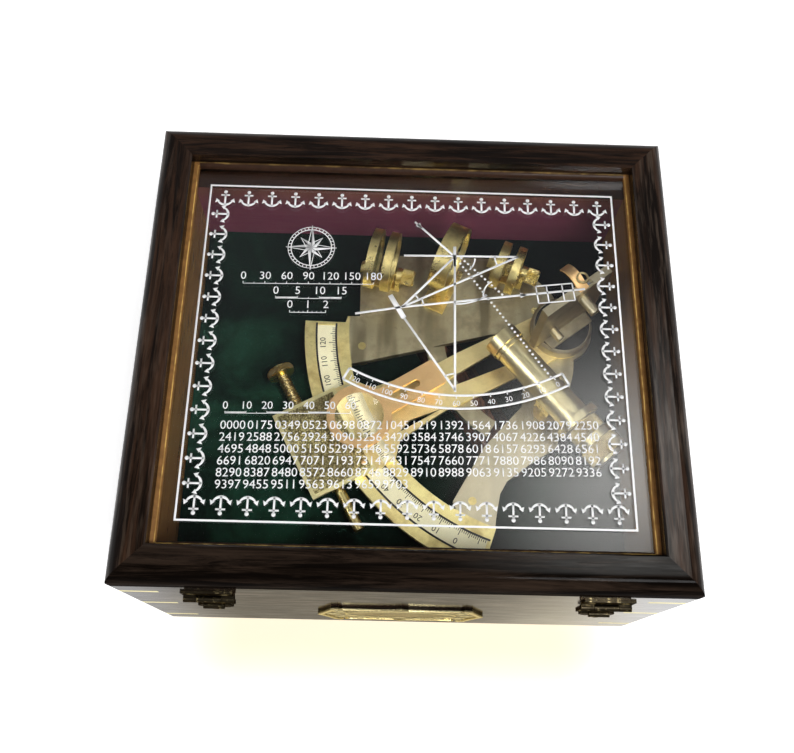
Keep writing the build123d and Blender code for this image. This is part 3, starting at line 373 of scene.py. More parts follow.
woodStreaks, agedMetal, caseInside = makeWoodGroup(), makeMetalGroup(), makeCaseInsideGroup()


def startMaterial(name):
    material = bpy.data.materials.new(name)
    material.use_nodes = True
    g = shaderGraph(material.node_tree)
    return material, g, g.tree.nodes["Principled BSDF"], g.add("TexCoord").outputs["Object"]


lacquer = {"coatLow": 0.5, "coatHigh": 0.9, "coatRough": 0.1, "coatIor": 1.5, "bump": 0.3, "wear": 0.3}
grainStretch = {"x": (0.07, 1, 1), "y": (1, 0.07, 1)}
endFades = {"left": (-0.085, -0.13), "right": (0.02, 0.118)}


def woodMaterial(
    name, run, inside=None, insideTop=None, deep=deepWood, warm=warmWood, coat=1.0, wear=lacquer["wear"], wearAndSheen=None,
    ends=None, lip=None,
):
    # lacquered streaks along one axis, with another colour inside the case (on the back wall a painted reflection), and
    # a coat that grows towards the ends of the wall and falls off over the lip
    material, g, shader, place = startMaterial(name)
    extra = {"Worn": wearAndSheen} if wearAndSheen else {}
    wood = g.group(woodStreaks, g.mapped(place, Scale=grainStretch[run]), Deep=deep, Warm=warm, Wear=wear, **extra)
    colour = wood["Color"]
    if inside:
        mask = g.group(caseInside, place)
        shaded = g.mix(0.55, colour, inside)
        if insideTop:
            shaded = g.mix(mask["Rise"], shaded, insideTop)
        colour = g.mix(mask["Inside"], colour, shaded)
    shine = g.ramp(wood["Height"], -0.2, 0.5, lacquer["coatLow"] * coat, lacquer["coatHigh"] * coat)
    if ends:
        x = g.axes(place)[0]
        left = g.ramp(x, *endFades["left"], 0.0, ends[0])
        shine = g.plus(shine, g.plus(left, g.ramp(x, *endFades["right"], 0.0, ends[1])))
    if lip:
        shine = g.times(shine, g.ramp(g.axes(place)[1], *lip, 1.0))
    g.put(shader, {
        "Base Color": colour, "Roughness": wood["Roughness"], "Coat Weight": shine, "Specular IOR Level": 0.0,
        "Coat Roughness": lacquer["coatRough"], "Coat IOR": lacquer["coatIor"],
    })
    g.bump(shader, wood["Height"], lacquer["bump"], 0.0004)
    return material


def aged(g, place, clean, dull, amount, polish):
    return g.group(agedMetal, place, Clean=clean, Dull=dull, Amount=amount, Polish=polish)


def dressMetal(g, shader, colour, metal, height, strength, distance=0.0003, tint=None):
    values = {"Base Color": colour, "Roughness": metal["Roughness"], "Metallic": 1.0}
    g.put(shader, {**values, "Specular Tint": tint} if tint else values)
    g.bump(shader, height, strength, distance)


def metalMaterial(name, clean, dull, amount=0.5, polish=0.22, bump=0.12):
    # aged metal whose edge tint follows its clean colour
    material, g, shader, place = startMaterial(name)
    metal = aged(g, place, clean, dull, amount, polish)
    tint = tuple(min(1.0, 0.25 + 0.9 * level) for level in clean)
    dressMetal(g, shader, metal["Color"], metal, metal["Height"], bump, 0.0002, tint)
    return material


def paneMaterial(name, tint, shadow=0.9):
    # clear glass that lets lamp light through instead of casting a solid shadow
    material, g, shader, place = startMaterial(name)
    smear = g.ramp(g.noise(place, 40.0, 5.0, 0.6), 0.35, 0.8, 0.0, 0.03)
    g.put(shader, {"Base Color": tint, "Roughness": smear, "Transmission Weight": 1.0, "IOR": 1.5})
    clear = g.put(g.add("BsdfTransparent"), {0: (shadow,) * 3})
    shadowRay = g.add("LightPath").outputs["Is Shadow Ray"]
    mix = g.put(g.add("MixShader"), {0: shadowRay, 1: shader.outputs[0], 2: clear.outputs[0]})
    g.put(g.tree.nodes["Material Output"], {0: mix.outputs[0]})
    return material


def plainMaterial(name, low, high, scale=200.0, roughness=0.5, metallic=0.0, bump=0.1):
    # two close colours mottled by fine noise
    material, g, shader, place = startMaterial(name)
    grain = g.noise(place, scale, 4.0, 0.6)
    rough = g.ramp(grain, 0.3, 0.7, roughness * 0.85, roughness * 1.15)
    g.put(shader, {"Base Color": g.mix(grain, low, high), "Roughness": rough, "Metallic": metallic})
    g.bump(shader, grain, bump, 0.0002)
    return material


frontEnds = (0.24, 0.75)
woodAlongX = woodMaterial("espressoWoodX", "x")
woodAlongY = woodMaterial("espressoWoodY", "y")
# the front rail's strong grey worn streaks are partly real wear and partly a painted sheen on its lacquer
frontRail = woodMaterial(
    "frontRailWood", "x", deep=(0.003, 0.002, 0.0015), warm=(0.03, 0.019, 0.013), wear=3.5, wearAndSheen=(0.13, 0.11, 0.10),
    lip=(-0.1118, -0.1098, 0.04),
)
lidWallX = woodMaterial("lidWallX", "x", (0.0607, 0.0304, 0.0202), coat=0.6, ends=frontEnds)
lidWallY = woodMaterial("lidWallY", "y", (0.29, 0.165, 0.05))
# inside the back wall the maroon low down is a painted reflection of the room in the glass, fading to brown higher up
bodyBack = woodMaterial("bodyBackWood", "x", (0.26, 0.062, 0.105), (0.16, 0.06, 0.045))
bodySide = woodMaterial("bodySideWood", "y", (0.36, 0.185, 0.066))
bodyFront = woodMaterial("bodyFrontWood", "x", (0.2024, 0.0607, 0.0506), coat=0.6, ends=frontEnds)
stopWood = woodMaterial("stopWood", "x", warm=(0.0304, 0.0152, 0.0101), coat=0.3)
handleWood = woodMaterial("handleWood", "y", deep=(0.0607, 0.0304, 0.0202), warm=(0.253, 0.1113, 0.0607))
trayWood = woodMaterial("trayWood", "x", deep=(0.08, 0.045, 0.025), warm=(0.2, 0.12, 0.07), coat=0.0, wear=0.1)
brass = metalMaterial("paleBrass", (0.97, 0.79, 0.33), (0.22, 0.145, 0.05), 0.7, 0.27)
brassKeys = metalMaterial("keyBrass", (0.97, 0.86, 0.55), (0.66, 0.54, 0.28), 0.3, 0.24)
brassOld = metalMaterial("agedBrass", (0.55, 0.44, 0.21), (0.16, 0.13, 0.06), 0.7, 0.34)
brassScope = metalMaterial("telescopeBrass", (0.80, 0.69, 0.38), (0.30, 0.23, 0.10), 0.45, 0.3)
brassArm = metalMaterial("armBrass", (0.97, 0.80, 0.38), (0.36, 0.25, 0.09), 0.45, 0.38)
brassDrum = metalMaterial("drumBrass", (0.52, 0.45, 0.30), (0.20, 0.17, 0.10), 0.6, 0.4)
brassWarm = metalMaterial("warmBrass", (0.92, 0.60, 0.28), (0.50, 0.31, 0.12), 0.35, 0.4)
steel = metalMaterial("pinSteel", (0.55, 0.55, 0.54), (0.3, 0.29, 0.27), 0.4, 0.3)
darkPolish = metalMaterial("darkPolish", (0.055, 0.05, 0.045), (0.02, 0.018, 0.015), 0.5, 0.16)
engraving = plainMaterial("engravingBlack", (0.01, 0.01, 0.01), (0.03, 0.028, 0.025), 500.0, 0.6)
silver = plainMaterial("silveredStrip", (0.86, 0.76, 0.44), (1.0, 0.95, 0.66), 90.0, 0.42, 0.3)
printPaint = plainMaterial("whitePaint", (0.95, 0.95, 0.95), (0.99, 0.99, 0.99), 300.0, 0.6, bump=0.05)
paneGlass = paneMaterial("paneGlass", (0.93, 0.95, 0.97))
lensGlass = paneMaterial("lensGlass", (1.0, 1.0, 0.98), shadow=1.0)
shadeGlass = paneMaterial("shadeGlass", (0.08, 0.12, 0.14), shadow=0.3)
mirrorGlass = metalMaterial("mirrorGlass", (0.86, 0.88, 0.88), (0.7, 0.72, 0.72), 0.15, 0.03, 0.02)


def beadMaterial():
    # brown bead, more orange at the sides, with a broken golden line of painted highlight picked by the height in the
    # object
    material, g, shader, place = startMaterial("goldenBead")
    x, y, z = g.axes(place)
    level = g.plus(z, g.times(g.minus(g.noise(place, 60.0, 4.0), 0.5), 0.0006))
    behind = g.math("GREATER_THAN", y, 0.09)
    side = g.ramp(g.plain(x), 0.1128, 0.1134)
    top = g.ramp(g.minus(level, g.times(behind, 0.0005)), 0.1401, 0.1404)
    middle = g.times(g.ramp(level, 0.1396, 0.1399), g.ramp(level, 0.1403, 0.1400))
    broken = g.ramp(g.noise(place, 130.0, 3.0), 0.40, 0.6, 0.25, 1.0)
    # the golden line is a painted highlight, dimmer on the back bead
    line = g.times(g.larger(g.times(top, g.minus(1.0, side)), g.times(middle, side)), broken)
    line = g.times(line, g.minus(0.8, g.times(behind, 0.5)))
    grain = g.noise(place, 300.0, 4.0)
    brown = g.mix(grain, (0.012, 0.005, 0.003), (0.05, 0.021, 0.01))
    orange = g.mix(grain, (0.1113, 0.0506, 0.0152), (0.3542, 0.172, 0.0506))
    colour = g.mix(line, g.mix(side, brown, orange), (0.85, 0.55, 0.16))
    g.put(shader, {"Base Color": colour, "Roughness": 0.45, "Specular IOR Level": 0.12, "Coat Weight": 0.04})
    g.bump(shader, grain, 0.2, 0.0003)
    return material


def plaqueMaterial():
    # the depth in the object picks black for the plate's edge, dull brass for its face, bright for the relief
    material, g, shader, place = startMaterial("plaqueBrass")
    depth = g.axes(place)[1]
    edge = g.ramp(depth, -0.12006, -0.11992)
    raised = g.ramp(depth, -0.1203, -0.1206)
    metal = aged(g, place, (0.92, 0.80, 0.42), (0.40, 0.33, 0.16), 0.6, 0.3)
    stipple = g.ramp(g.noise(place, 1100.0, 2.0), 0.42, 0.6)
    shade = g.ramp(g.noise(place, 60.0, 3.0), 0.3, 0.7, 0.25, 0.75)
    face = g.mix(g.times(stipple, shade), (0.44, 0.37, 0.21), (0.08, 0.065, 0.035))
    colour = g.mix(edge, g.mix(raised, face, metal["Color"]), (0.012, 0.01, 0.007))
    dressMetal(g, shader, colour, metal, metal["Height"], 0.3, tint=(0.75, 0.68, 0.5))
    return material


def latchMaterial():
    # near-black bronze, with golden spots of painted glint where a fine noise passes a limit
    material, g, shader, place = startMaterial("darkBronze")
    wearAndSheen = g.ramp(g.noise(place, 520.0, 3.0, 0.6), 0.56, 0.76, 0.0, 0.7)
    metal = aged(g, place, (0.035, 0.028, 0.017), (0.008, 0.007, 0.005), 0.8, 0.36)
    colour = g.mix(wearAndSheen, metal["Color"], (0.46, 0.37, 0.19))
    dressMetal(g, shader, colour, metal, metal["Height"], 0.2, tint=(0.3, 0.26, 0.2))
    return material


# the index arm's centre in millimetres and its direction in degrees, at rest
pivot = np.array([89.5, 40.6])
armTurn = 208.3
vernierField = {"middle": 0.1520, "halfLong": 0.0172, "halfWide": 0.0247, "soft": 0.0006}


def vernierMaterial():
    # plain golden border, dark pebbled middle: the mask is the place along and across the arm at rest
    material, g, shader, place = startMaterial("vernierBrass")
    local = g.mapped(place, "TEXTURE", Location=(*(pivot * mm), 0.0), Rotation=(0.0, 0.0, math.radians(armTurn)))
    reach, aside, lift = g.axes(local)
    far = g.plain(g.minus(reach, vernierField["middle"]))
    inside = [
        g.ramp(value, vernierField[half], vernierField[half] - vernierField["soft"])
        for value, half in ((far, "halfLong"), (g.plain(aside), "halfWide"))
    ]
    field = g.times(*inside)
    cells = g.put(g.add("TexVoronoi"), {"Vector": place, "Scale": 900.0})
    pebbles = g.ramp(cells.outputs["Distance"], 0.2, 0.75)
    metal = aged(g, place, (0.92, 0.82, 0.42), (0.55, 0.46, 0.2), 0.3, 0.42)
    shade = g.ramp(g.noise(place, 45.0, 3.0), 0.35, 0.65)
    pebbled = g.mix(pebbles, (0.82, 0.70, 0.30), (0.20, 0.16, 0.06))
    dark = g.mix(g.times(shade, 0.7), pebbled, (0.16, 0.125, 0.06))
    dressMetal(g, shader, g.mix(field, metal["Color"], dark), metal, g.times(pebbles, field), 0.4)
    return material


def frameMaterial():
    # banded grey patina on the plate, painted paler towards the lower struts where more light falls, golden on the
    # limb: the limb's mask is the distance from the arm's centre
    material, g, shader, place = startMaterial("sextantFrame")
    offset = g.add("VectorMath", operation="MULTIPLY_ADD")
    g.put(offset, {0: place, 1: (1, 1, 0), 2: (*(-pivot * mm), 0)})
    limb = g.ramp(g.measure("LENGTH", offset.outputs[0]), 0.1222, 0.1232)
    plate = aged(g, place, (0.52, 0.45, 0.28), (0.17, 0.14, 0.08), 0.7, 0.4)
    gold = aged(g, place, (1.0, 0.86, 0.38), (0.38, 0.25, 0.09), 0.65, 0.38)
    bands = g.mapped(place, Scale=(1.0, 0.16, 1.0), Rotation=(0.0, 0.0, 0.25))
    band = g.ramp(g.noise(bands, 75.0, 2.0, 0.5), 0.45, 0.62)
    colour = g.mix(g.times(band, 0.75), plate["Color"], (0.20, 0.165, 0.09))
    # the lower struts are painted paler: a painted highlight standing in for the light that falls there
    paintedStrutLight = g.ramp(g.axes(place)[1], 0.0, -0.04, 0.0, 0.75)
    colour = g.mix(limb, g.mix(paintedStrutLight, colour, (0.66, 0.58, 0.40)), gold["Color"])
    dressMetal(g, shader, colour, plate, plate["Height"], 0.15, 0.0002)
    return material


def velvetMaterial():
    # pile: broad brushed patches, painted greener and lighter towards the left end and painted darker towards the back,
    # fine fibres in height, sheen on the shader
    material, g, shader, place = startMaterial("tealVelvet")
    x, y, z = g.axes(place)
    nap = g.ramp(g.noise(place, 22.0, 4.0, 0.6, 0.8), 0.38, 0.72)
    # side: painted light on the left end, and painted shadow of the back wall towards the back
    side = g.times(g.ramp(x, 0.02, -0.09, 0.25, 1.0), g.ramp(y, 0.07, 0.0, 0.35, 1.0))
    pile = g.noise(place, 1400.0, 3.0, 0.7)
    brushed = g.times(g.plus(g.times(nap, 0.85), 0.15), side)
    colour = g.mix(brushed, (0.0015, 0.002, 0.002), (0.015, 0.056, 0.032))
    g.put(shader, {
        "Base Color": g.mix(g.times(pile, 0.15), colour, (0.0051, 0.0253, 0.0162)), "Roughness": 0.95,
        "Specular IOR Level": 0.02, "Sheen Weight": 0.006, "Sheen Roughness": 0.4, "Sheen Tint": (0.2, 0.6, 0.45),
    })
    g.bump(shader, pile, 0.6, 0.0006)
    return material


beadWood, plaqueBrass, bronzeDark = beadMaterial(), plaqueMaterial(), latchMaterial()
vernierBrass, frameMetal, velvet = vernierMaterial(), frameMaterial(), velvetMaterial()
print("materials made")

nodeMaterials = [
    (bodyFront, "body_front"), (bodyBack, "body_back"), (bodySide, "body_left body_right"),
    (trayWood, "body_bottom tray_board tray_supports"), (lidWallX, "lid_front lid_back"),
    (lidWallY, "lid_left lid_right"), (frontRail, "rail_front"), (woodAlongX, "rail_back"),
    (woodAlongY, "rail_left rail_right"), (stopWood, "glass_stops"), (beadWood, "glass_beads"),
    (paneGlass, "glass_pane"), (brassKeys, "corner_keys_body corner_keys_lid"),
    (brassOld, "hinge_leaves_body hinge_leaves_lid screws_body screws_lid"), (steel, "hinge_pins"),
    (plaqueBrass, "front_plaque"), (bronzeDark, "latch_leaves latch_flap_left latch_flap_right latch_catches"),
    (frameMetal, "sextant_frame"), (silver, "arc_scale"), (handleWood, "sextant_handle"), (brassArm, "index_arm"),
    (brassDrum, "index_head index_mirror_bracket"), (mirrorGlass, "index_mirror horizon_mirror"),
    (vernierBrass, "vernier_plate"), (brassWarm, "magnifier_pivot magnifier_arm"),
    (lensGlass, "magnifier_lens telescope_objective"), (brassScope, "telescope_tube telescope_draw"),
    (brass, "sextant_legs handle_brackets tangent_screw horizon_mirror_cell shade_posts telescope_bracket"),
    (brass, "horizon_shade_1_ring horizon_shade_2_ring index_shade_1_ring index_shade_2_ring"),
    (shadeGlass, "horizon_shade_1_glass horizon_shade_2_glass index_shade_1_glass index_shade_2_glass"),
]
for material, names in nodeMaterials:
    for name in names.split():
        nodes[name].data.materials.clear()
        nodes[name].data.materials.append(material)


# ---------- velvet on the tray
lining = {"width": 0.245, "depth": 0.217, "area": 0.04988, "edge": 0.0004}


def layVelvet():
    # the board's outline with its holes, its upper edge rounded like a cloth pulled over it
    mesh = nodes["tray_lining"].data.copy()
    mesh.name = "velvetLining"
    weld(mesh, 1e-6)
    mesh.materials.clear()
    mesh.materials.append(velvet)
    piece = addObject("velvetLining", mesh)
    rounding = piece.modifiers.new("rounding", "BEVEL")
    rounding.width = lining["edge"]
    rounding.segments = 2
    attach(piece, "root")
    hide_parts("tray_lining")


layVelvet()
print("velvet laid")

# ---------- print on the glass
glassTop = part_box("glass_pane")[1].z / mm
printSizes = {
    "height": glassTop + 0.01, "thickness": 0.05,
    "halfWidth": 106.2, "halfDepth": 89.3, "border": 1.0,
    "anchor": 10.0, "rowCount": 17, "sideCount": 13,
    "topRow": 81.3, "bottomRow": -81.8, "sideColumn": 99.6, "rowReach": 98.2, "sideReach": 72.0,
    "line": 1.15, "fineLine": 0.8, "figure": 4.3, "rowTilt": 1.4, "tableStep": 13.0,
}


def anchorShapes():
    # eye, stock, shank and a crescent with barbed ends, about one unit high and centred
    eye = (arcLine((0, 0.41), 0.10, 0, 330, 12), [list(range(12))])
    stock = flatStrip([(-0.23, 0.22), (0.23, 0.22)], 0.09)
    shank = flatStrip([(0, 0.34), (0, -0.40)], 0.10)
    outer = arcLine((0, 0.00), 0.43, 203, 337, 19)
    inner = arcLine((0, 0.10), 0.40, 212, 328, 19)
    crescent = (np.stack([outer, inner], axis=1).reshape(-1, 2), gridFaces(19, 2))
    shapes = [eye, stock, shank, crescent]
    for side in (-1, 1):
        shapes.append(([(side * 0.52, -0.24), (side * 0.46, 0.02), (side * 0.27, -0.13)], [[0, 1, 2]]))
    return shapes


def anchorBorder():
    # a row of anchors along each side, eyes outwards, in a plain frame
    sizes, places = printSizes, []
    reach = np.linspace(-sizes["rowReach"], sizes["rowReach"], sizes["rowCount"])
    sides = np.linspace(-sizes["sideReach"], sizes["sideReach"], sizes["sideCount"])
    places += [((x, sizes["topRow"]), 0) for x in reach]
    places += [((x, sizes["bottomRow"]), 180) for x in reach]
    places += [((-sizes["sideColumn"], y), 90) for y in sides]
    places += [((sizes["sideColumn"], y), -90) for y in sides]
    anchor = anchorShapes()
    shapes = [moved(part, spot, turn, sizes["anchor"]) for spot, turn in places for part in anchor]
    w, d = sizes["halfWidth"], sizes["halfDepth"]
    shapes.append(flatStrip([(-w, -d), (w, -d), (w, d), (-w, d)], sizes["border"], True))
    return shapes


def compassRose(centre, radius):
    # eight-pointed star in a ring of fine divisions
    shapes = []
    inner, outer, waist = radius * 0.80, radius * 0.92, (radius * 0.13, radius * 0.16)
    for turn in range(0, 360, 45):
        length = radius if turn % 90 == 0 else radius * 0.62
        shapes.append(moved(([(0, length), waist, (0, 0)], [[0, 1, 2]]), centre, turn))
        shapes.append(moved(flatStrip([(0, length), (-waist[0], waist[1])], 0.35), centre, turn))
    for ring, width in ((inner, 0.5), (outer, 0.35)):
        shapes.append(flatStrip(arcLine(centre, ring, 0, 355, 72), width, True))
    return shapes + [spoke(centre, turn, inner, outer, 0.4) for turn in range(0, 360, 10)]


def ruler(start, width, step, numbers, size, bar=False, tilt=0.0):
    # a row of figures over a divided line, turned as a whole about its left end
    shapes = []
    spacing = width / max(len(numbers) - 1, 1)
    for i, number in enumerate(numbers):
        place = i * spacing
        shapes.append(moved(numberShape(number), (place, 0), 0, size))
        shapes.append(flatStrip([(place, -size * 0.72), (place, -size)], 0.4))
        if i < len(numbers) - 1:
            for k in range(1, step):
                x = (i + k / step) * spacing
                shapes.append(flatStrip([(x, -size * 0.82), (x, -size)], 0.3))
            if bar and i % 2 == 0:
                shapes.append(flatStrip([(place, -size * 0.9), ((i + 1) * spacing, -size * 0.9)], size * 0.22))
    shapes.append(flatStrip([(0, -size), (width, -size)], 0.35))
    return [moved(shape, start, tilt) for shape in shapes]


def sextantDiagram():
    # plain ray diagram: index glass at the top, horizon glass at the left, telescope at the right
    sizes = printSizes
    top, horizon, right, foot = (22.6, 50.6), (-4.2, 21.1), (55.3, 51.5), (22.4, -23.7)
    lines = [
        [(-3.6, 50.5), right], [(1.8, 70.5), top], [(-27.6, 16.8), horizon, (89.1, 34.1)],
        [horizon, top], [horizon, right], [top, foot], [(-3.0, 15.1), (22.4, -22.7)],
    ]
    shapes = [flatStrip(line, sizes["line"]) for line in lines]
    shapes.append(flatStrip([(-10.3, 27.6), (-3.0, 15.1)], 2.6))
    shapes.append(flatStrip([(22.6, 56.5), (22.6, 45.0)], 1.6))
    # arrow heads
    for tip, turn in (((4.6, 67.8), -46), ((57.6, 29.6), 6)):
        shapes.append(moved(([(1.8, 0), (-1.8, 1.5), (-1.8, -1.5)], [[0, 1, 2]]), tip, turn))
    # telescope as a divided box
    box = [[(x, -4.8), (x, 4.8)] for x in (-9.4, -4.0, 4.0, 9.4)] + [[(-9.4, y), (9.4, y)] for y in (-4.8, 4.8)]
    shapes += [moved(flatStrip(line, 0.7), (73.8, 31.2), 7) for line in box]
    # dotted lines of the turned index glass
    for ends, count in ((((24.6, 51.2), (46.6, 29.6)), 13), ((top, (69.5, -14.6)), 32)):
        for share in np.linspace(0.06, 1, count):
            spot = np.asarray(ends[0]) * (1 - share) + np.asarray(ends[1]) * share
            shapes.append((arcLine(spot, 0.72, 0, 300, 6), [list(range(6))]))
    # angle arcs
    for centre, radius, start, end in (
        (top, 27.0, -90, -53), (top, 10.5, -4, -44), ((46.0, 29.0), 9.0, 120, 188),
        (horizon, 11.0, 8, 27), (horizon, 9.5, 27, 48), (right, 12.0, 180, 206), (foot, 9.5, 90, 123),
    ):
        shapes.append(flatStrip(arcLine(centre, radius, start, end, 14), sizes["fineLine"]))
    # divided arc along the bottom
    middle, inner, outer, spread = (23.0, 86.0), 111.5, 118.2, 27.9
    for radius in (inner, outer):
        shapes.append(flatStrip(arcLine(middle, radius, 270 - spread, 270 + spread, 48), sizes["line"]))
    for side in (-1, 1):
        shapes.append(spoke(middle, 270 + side * spread, inner, outer, sizes["line"]))
    for i, number in enumerate(range(120, -1, -10)):
        degrees = 270 - 25.5 + i * 51.0 / 12
        shapes.append(spoke(middle, degrees, inner, inner + 1.6, 0.5))
        shapes.append(moved(numberShape(str(number)), polar(degrees, inner + 4.1, middle), degrees - 270, 2.7))
    return shapes


def figureRows():
    # bar scales, and a table of sines in four figures below the diagram
    size, tilt, step = printSizes["figure"], printSizes["rowTilt"], printSizes["tableStep"]
    shapes = ruler((-88.0, -33.6), 60.0, 2, [str(n) for n in range(0, 70, 10)], 3.9, True, tilt)
    degrees = 0
    for row, y in enumerate((-43.4, -49.3, -55.1, -60.9, -66.6, -72.3)):
        for column in range(7 if row == 5 else 14):
            words = "%04d" % round(10000 * math.sin(math.radians(degrees)))
            spot = (-83.6 + column * step, y + column * step * math.tan(math.radians(tilt)))
            shapes.append(moved(numberShape(words), spot, tilt, size))
            degrees += 1
    shapes += ruler((-85.0, 36.3), 66.0, 2, [str(n * 30) for n in range(7)], 4.3, False, 1.2)
    shapes += ruler((-68.0, 28.4), 33.0, 2, ["0", "5", "10", "15"], 4.3, True, 1.2)
    shapes += ruler((-60.5, 20.8), 18.0, 4, ["0", "1", "2"], 4.3, False, 1.2)
    return shapes


printShapes = anchorBorder() + compassRose((-51.5, 53.6), 13.0) + sextantDiagram() + figureRows()
addPiece(
    "glassPrint", [lifted(shape, printSizes["height"]) for shape in printShapes], printPaint, "lid",
    smoothAngle=20, thickness=printSizes["thickness"], closed=False,
)
print("glass print drawn:", len(printShapes), "shapes")

# ---------- engraving of the arc and vernier
along, across = polar(armTurn), polar(armTurn + 90)
arcSizes = {
    "top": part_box("arc_scale")[1].z / mm, "zero": 243.6, "perUnit": 0.4925, "inner": 130.0, "outer": 142.0,
    "start": 179.2, "end": 251.0, "figureRadius": 137.9, "figure": 3.3, "tick": 0.38, "border": 1.1,
}


def armSpot(s, t):
    # place along and across the arm at rest
    return pivot + s * along + t * across


def arcEngraving():
    # one division a degree, longer each five and ten, with figures outside them and a line along both edges
    sizes, shapes = arcSizes, []
    for unit in range(-13, 129):
        degrees = sizes["zero"] - unit * sizes["perUnit"]
        reach = 4.0 if unit % 10 == 0 else 3.0 if unit % 5 == 0 else 1.9
        shapes.append(spoke(pivot, degrees, sizes["inner"] + 0.6, sizes["inner"] + 0.6 + reach, sizes["tick"]))
        if unit % 10 == 0 and 0 <= unit <= 120:
            spot = polar(degrees, sizes["figureRadius"], pivot)
            shapes.append(moved(numberShape(str(unit)), spot, degrees - 90, sizes["figure"]))
    for radius in (sizes["inner"] + 0.3, sizes["outer"] - 0.3):
        shapes.append(flatStrip(arcLine(pivot, radius, sizes["start"], sizes["end"], 90), sizes["border"]))
    return shapes


vernierSizes = {"inner": 123.0, "outer": 130.0, "spread": 11.2, "tickEnd": 129.3, "tick": 0.34}


def vernierEngraving():
    # closer divisions on the arm's silvered strip
    end, shapes = vernierSizes["tickEnd"], []
    for unit in range(0, 41):
        reach = 4.2 if unit % 10 == 0 else 2.8 if unit % 2 == 0 else 1.9
        shapes.append(spoke(pivot, armTurn - 10.0 + unit * 0.5, end - reach, end, vernierSizes["tick"]))
    return shapes


def bandShape(centre, inner, outer, start, end, count=60):
    # flat ring sector between two radii
    points = np.stack([arcLine(centre, outer, start, end, count), arcLine(centre, inner, start, end, count)], axis=1)
    return points.reshape(-1, 2), gridFaces(count, 2)


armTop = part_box("index_arm")[1].z / mm
addPiece(
    "arcEngraving", [lifted(shape, arcSizes["top"] + 0.01) for shape in arcEngraving()], engraving, "root",
    smoothAngle=20, thickness=0.03, closed=False,
)
strip = bandShape(
    pivot, vernierSizes["inner"], vernierSizes["outer"], armTurn - vernierSizes["spread"],
    armTurn + vernierSizes["spread"],
)
addPiece(
    "vernierStrip", [lifted(strip, armTop + 0.02)], silver, "index_arm", thickness=0.25, closed=False,
)
addPiece(
    "vernierEngraving", [lifted(shape, armTop + 0.28) for shape in vernierEngraving()], engraving, "index_arm",
    smoothAngle=20, thickness=0.02, closed=False,
)
print("scales engraved")


# ---------- turned and knurled parts
def direction(degrees):
    return np.array([*polar(degrees), 0.0])


scope = {"origin": (50.8, 24.3, 96.0), "axis": -49.7, "body": "telescope_draw", "metal": brassOld}
tangent = {"origin": (*armSpot(155.5, 0.0), 65.0), "axis": armTurn + 90, "body": "tangent_screw", "metal": brassOld}
shadeKnob = {"inner": 4.1, "outer": 4.3, "depth": 0.4, "teeth": 32, "body": "root", "metal": brass}
knurlPieces = {
    "eyepieceKnurl": {**scope, "from": 64.7, "to": 72.6, "inner": 8.9, "outer": 9.25, "depth": 0.45, "teeth": 72},
    "eyepieceRim": {**scope, "from": 77.0, "to": 86.5, "inner": 10.4, "outer": 10.65, "depth": 0.35, "teeth": 84},
    "tangentKnobKnurl": {**tangent, "from": -52.6, "to": -49.4, "inner": 7.3, "outer": 7.5, "depth": 0.45, "teeth": 60},
    "horizonShadeKnob": {**shadeKnob, "origin": (-9.32, 69.60, 80.0), "axis": -13.0, "from": 6.2, "to": 13.1},
    "indexShadeKnob": {**shadeKnob, "origin": (63.93, 73.70, 80.0), "axis": -21.0, "from": 6.0, "to": 12.9},
}
for name, spec in knurlPieces.items():
    profile = knurledSleeve(spec["from"], spec["to"], spec["inner"], spec["outer"])
    around = spec["teeth"] * 4
    shape = turned(profile, spec["origin"], direction(spec["axis"]), around, spec["teeth"], spec["depth"])
    addPiece(name, [shape], spec["metal"], spec["body"], 25)

thread = {**tangent, "from": -48.6, "to": -26.8, "radius": 2.98, "pitch": 1.6, "depth": 0.7, "wall": 0.3}


def screwThread(spec, around=36, stepsPerTurn=8):
    # tube whose radius rises and falls as cos(angle - 2 pi h / pitch), fading out at both ends
    start, end, pitch = spec["from"], spec["to"], spec["pitch"]
    steps = int((end - start) / pitch * stepsPerTurn)
    height = np.linspace(start, end, steps)[:, None]
    angle = np.linspace(0, 2 * np.pi, around, endpoint=False)[None, :]
    wave = np.cos(angle - 2 * np.pi * height / pitch)
    fade = np.clip(np.minimum(height - start, end - height) / pitch, 0, 1)
    outer = spec["radius"] + spec["depth"] * 0.5 * (1 + wave) * fade
    inner = np.full((2, around), spec["radius"] - spec["wall"])
    height, radius = np.concatenate([height, height[[-1, 0]]]), np.concatenate([outer, inner])
    points = ringPoints(spec["origin"], direction(spec["axis"]), height, radius, angle)
    return points, gridFaces(steps + 2, around, True, True)


addPiece("tangentThread", [screwThread(thread)], thread["metal"], thread["body"], 60)
print("knurls and threads cut")

# ---------- index head, mirrors and arm fittings
headDisc = {
    "base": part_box("index_head")[1].z / mm - 0.05,
    "profile": [[0.0, 0.02, 0], [0.0, 15.4, 0], [0.12, 15.6, 0], [0.3, 15.3, 0], [0.42, 8.0, 0], [0.45, 0.02, 0]],
}
disc = turned(headDisc["profile"], (*pivot, headDisc["base"]), (0, 0, 1), 96)
addPiece("indexHeadDisc", [disc], darkPolish, "index_arm", 30)


def screwHead(spot, axis, radius):
    # shallow dome with a flat rim, closed at the base
    rim = [[-0.05, 0.02, 0], [-0.05, radius, 0], [0.25, radius, 0]]
    return turned(rim + [[0.45, radius * 0.75, 0], [0.58, radius * 0.4, 0], [0.6, 0.02, 0]], spot, axis, 28)


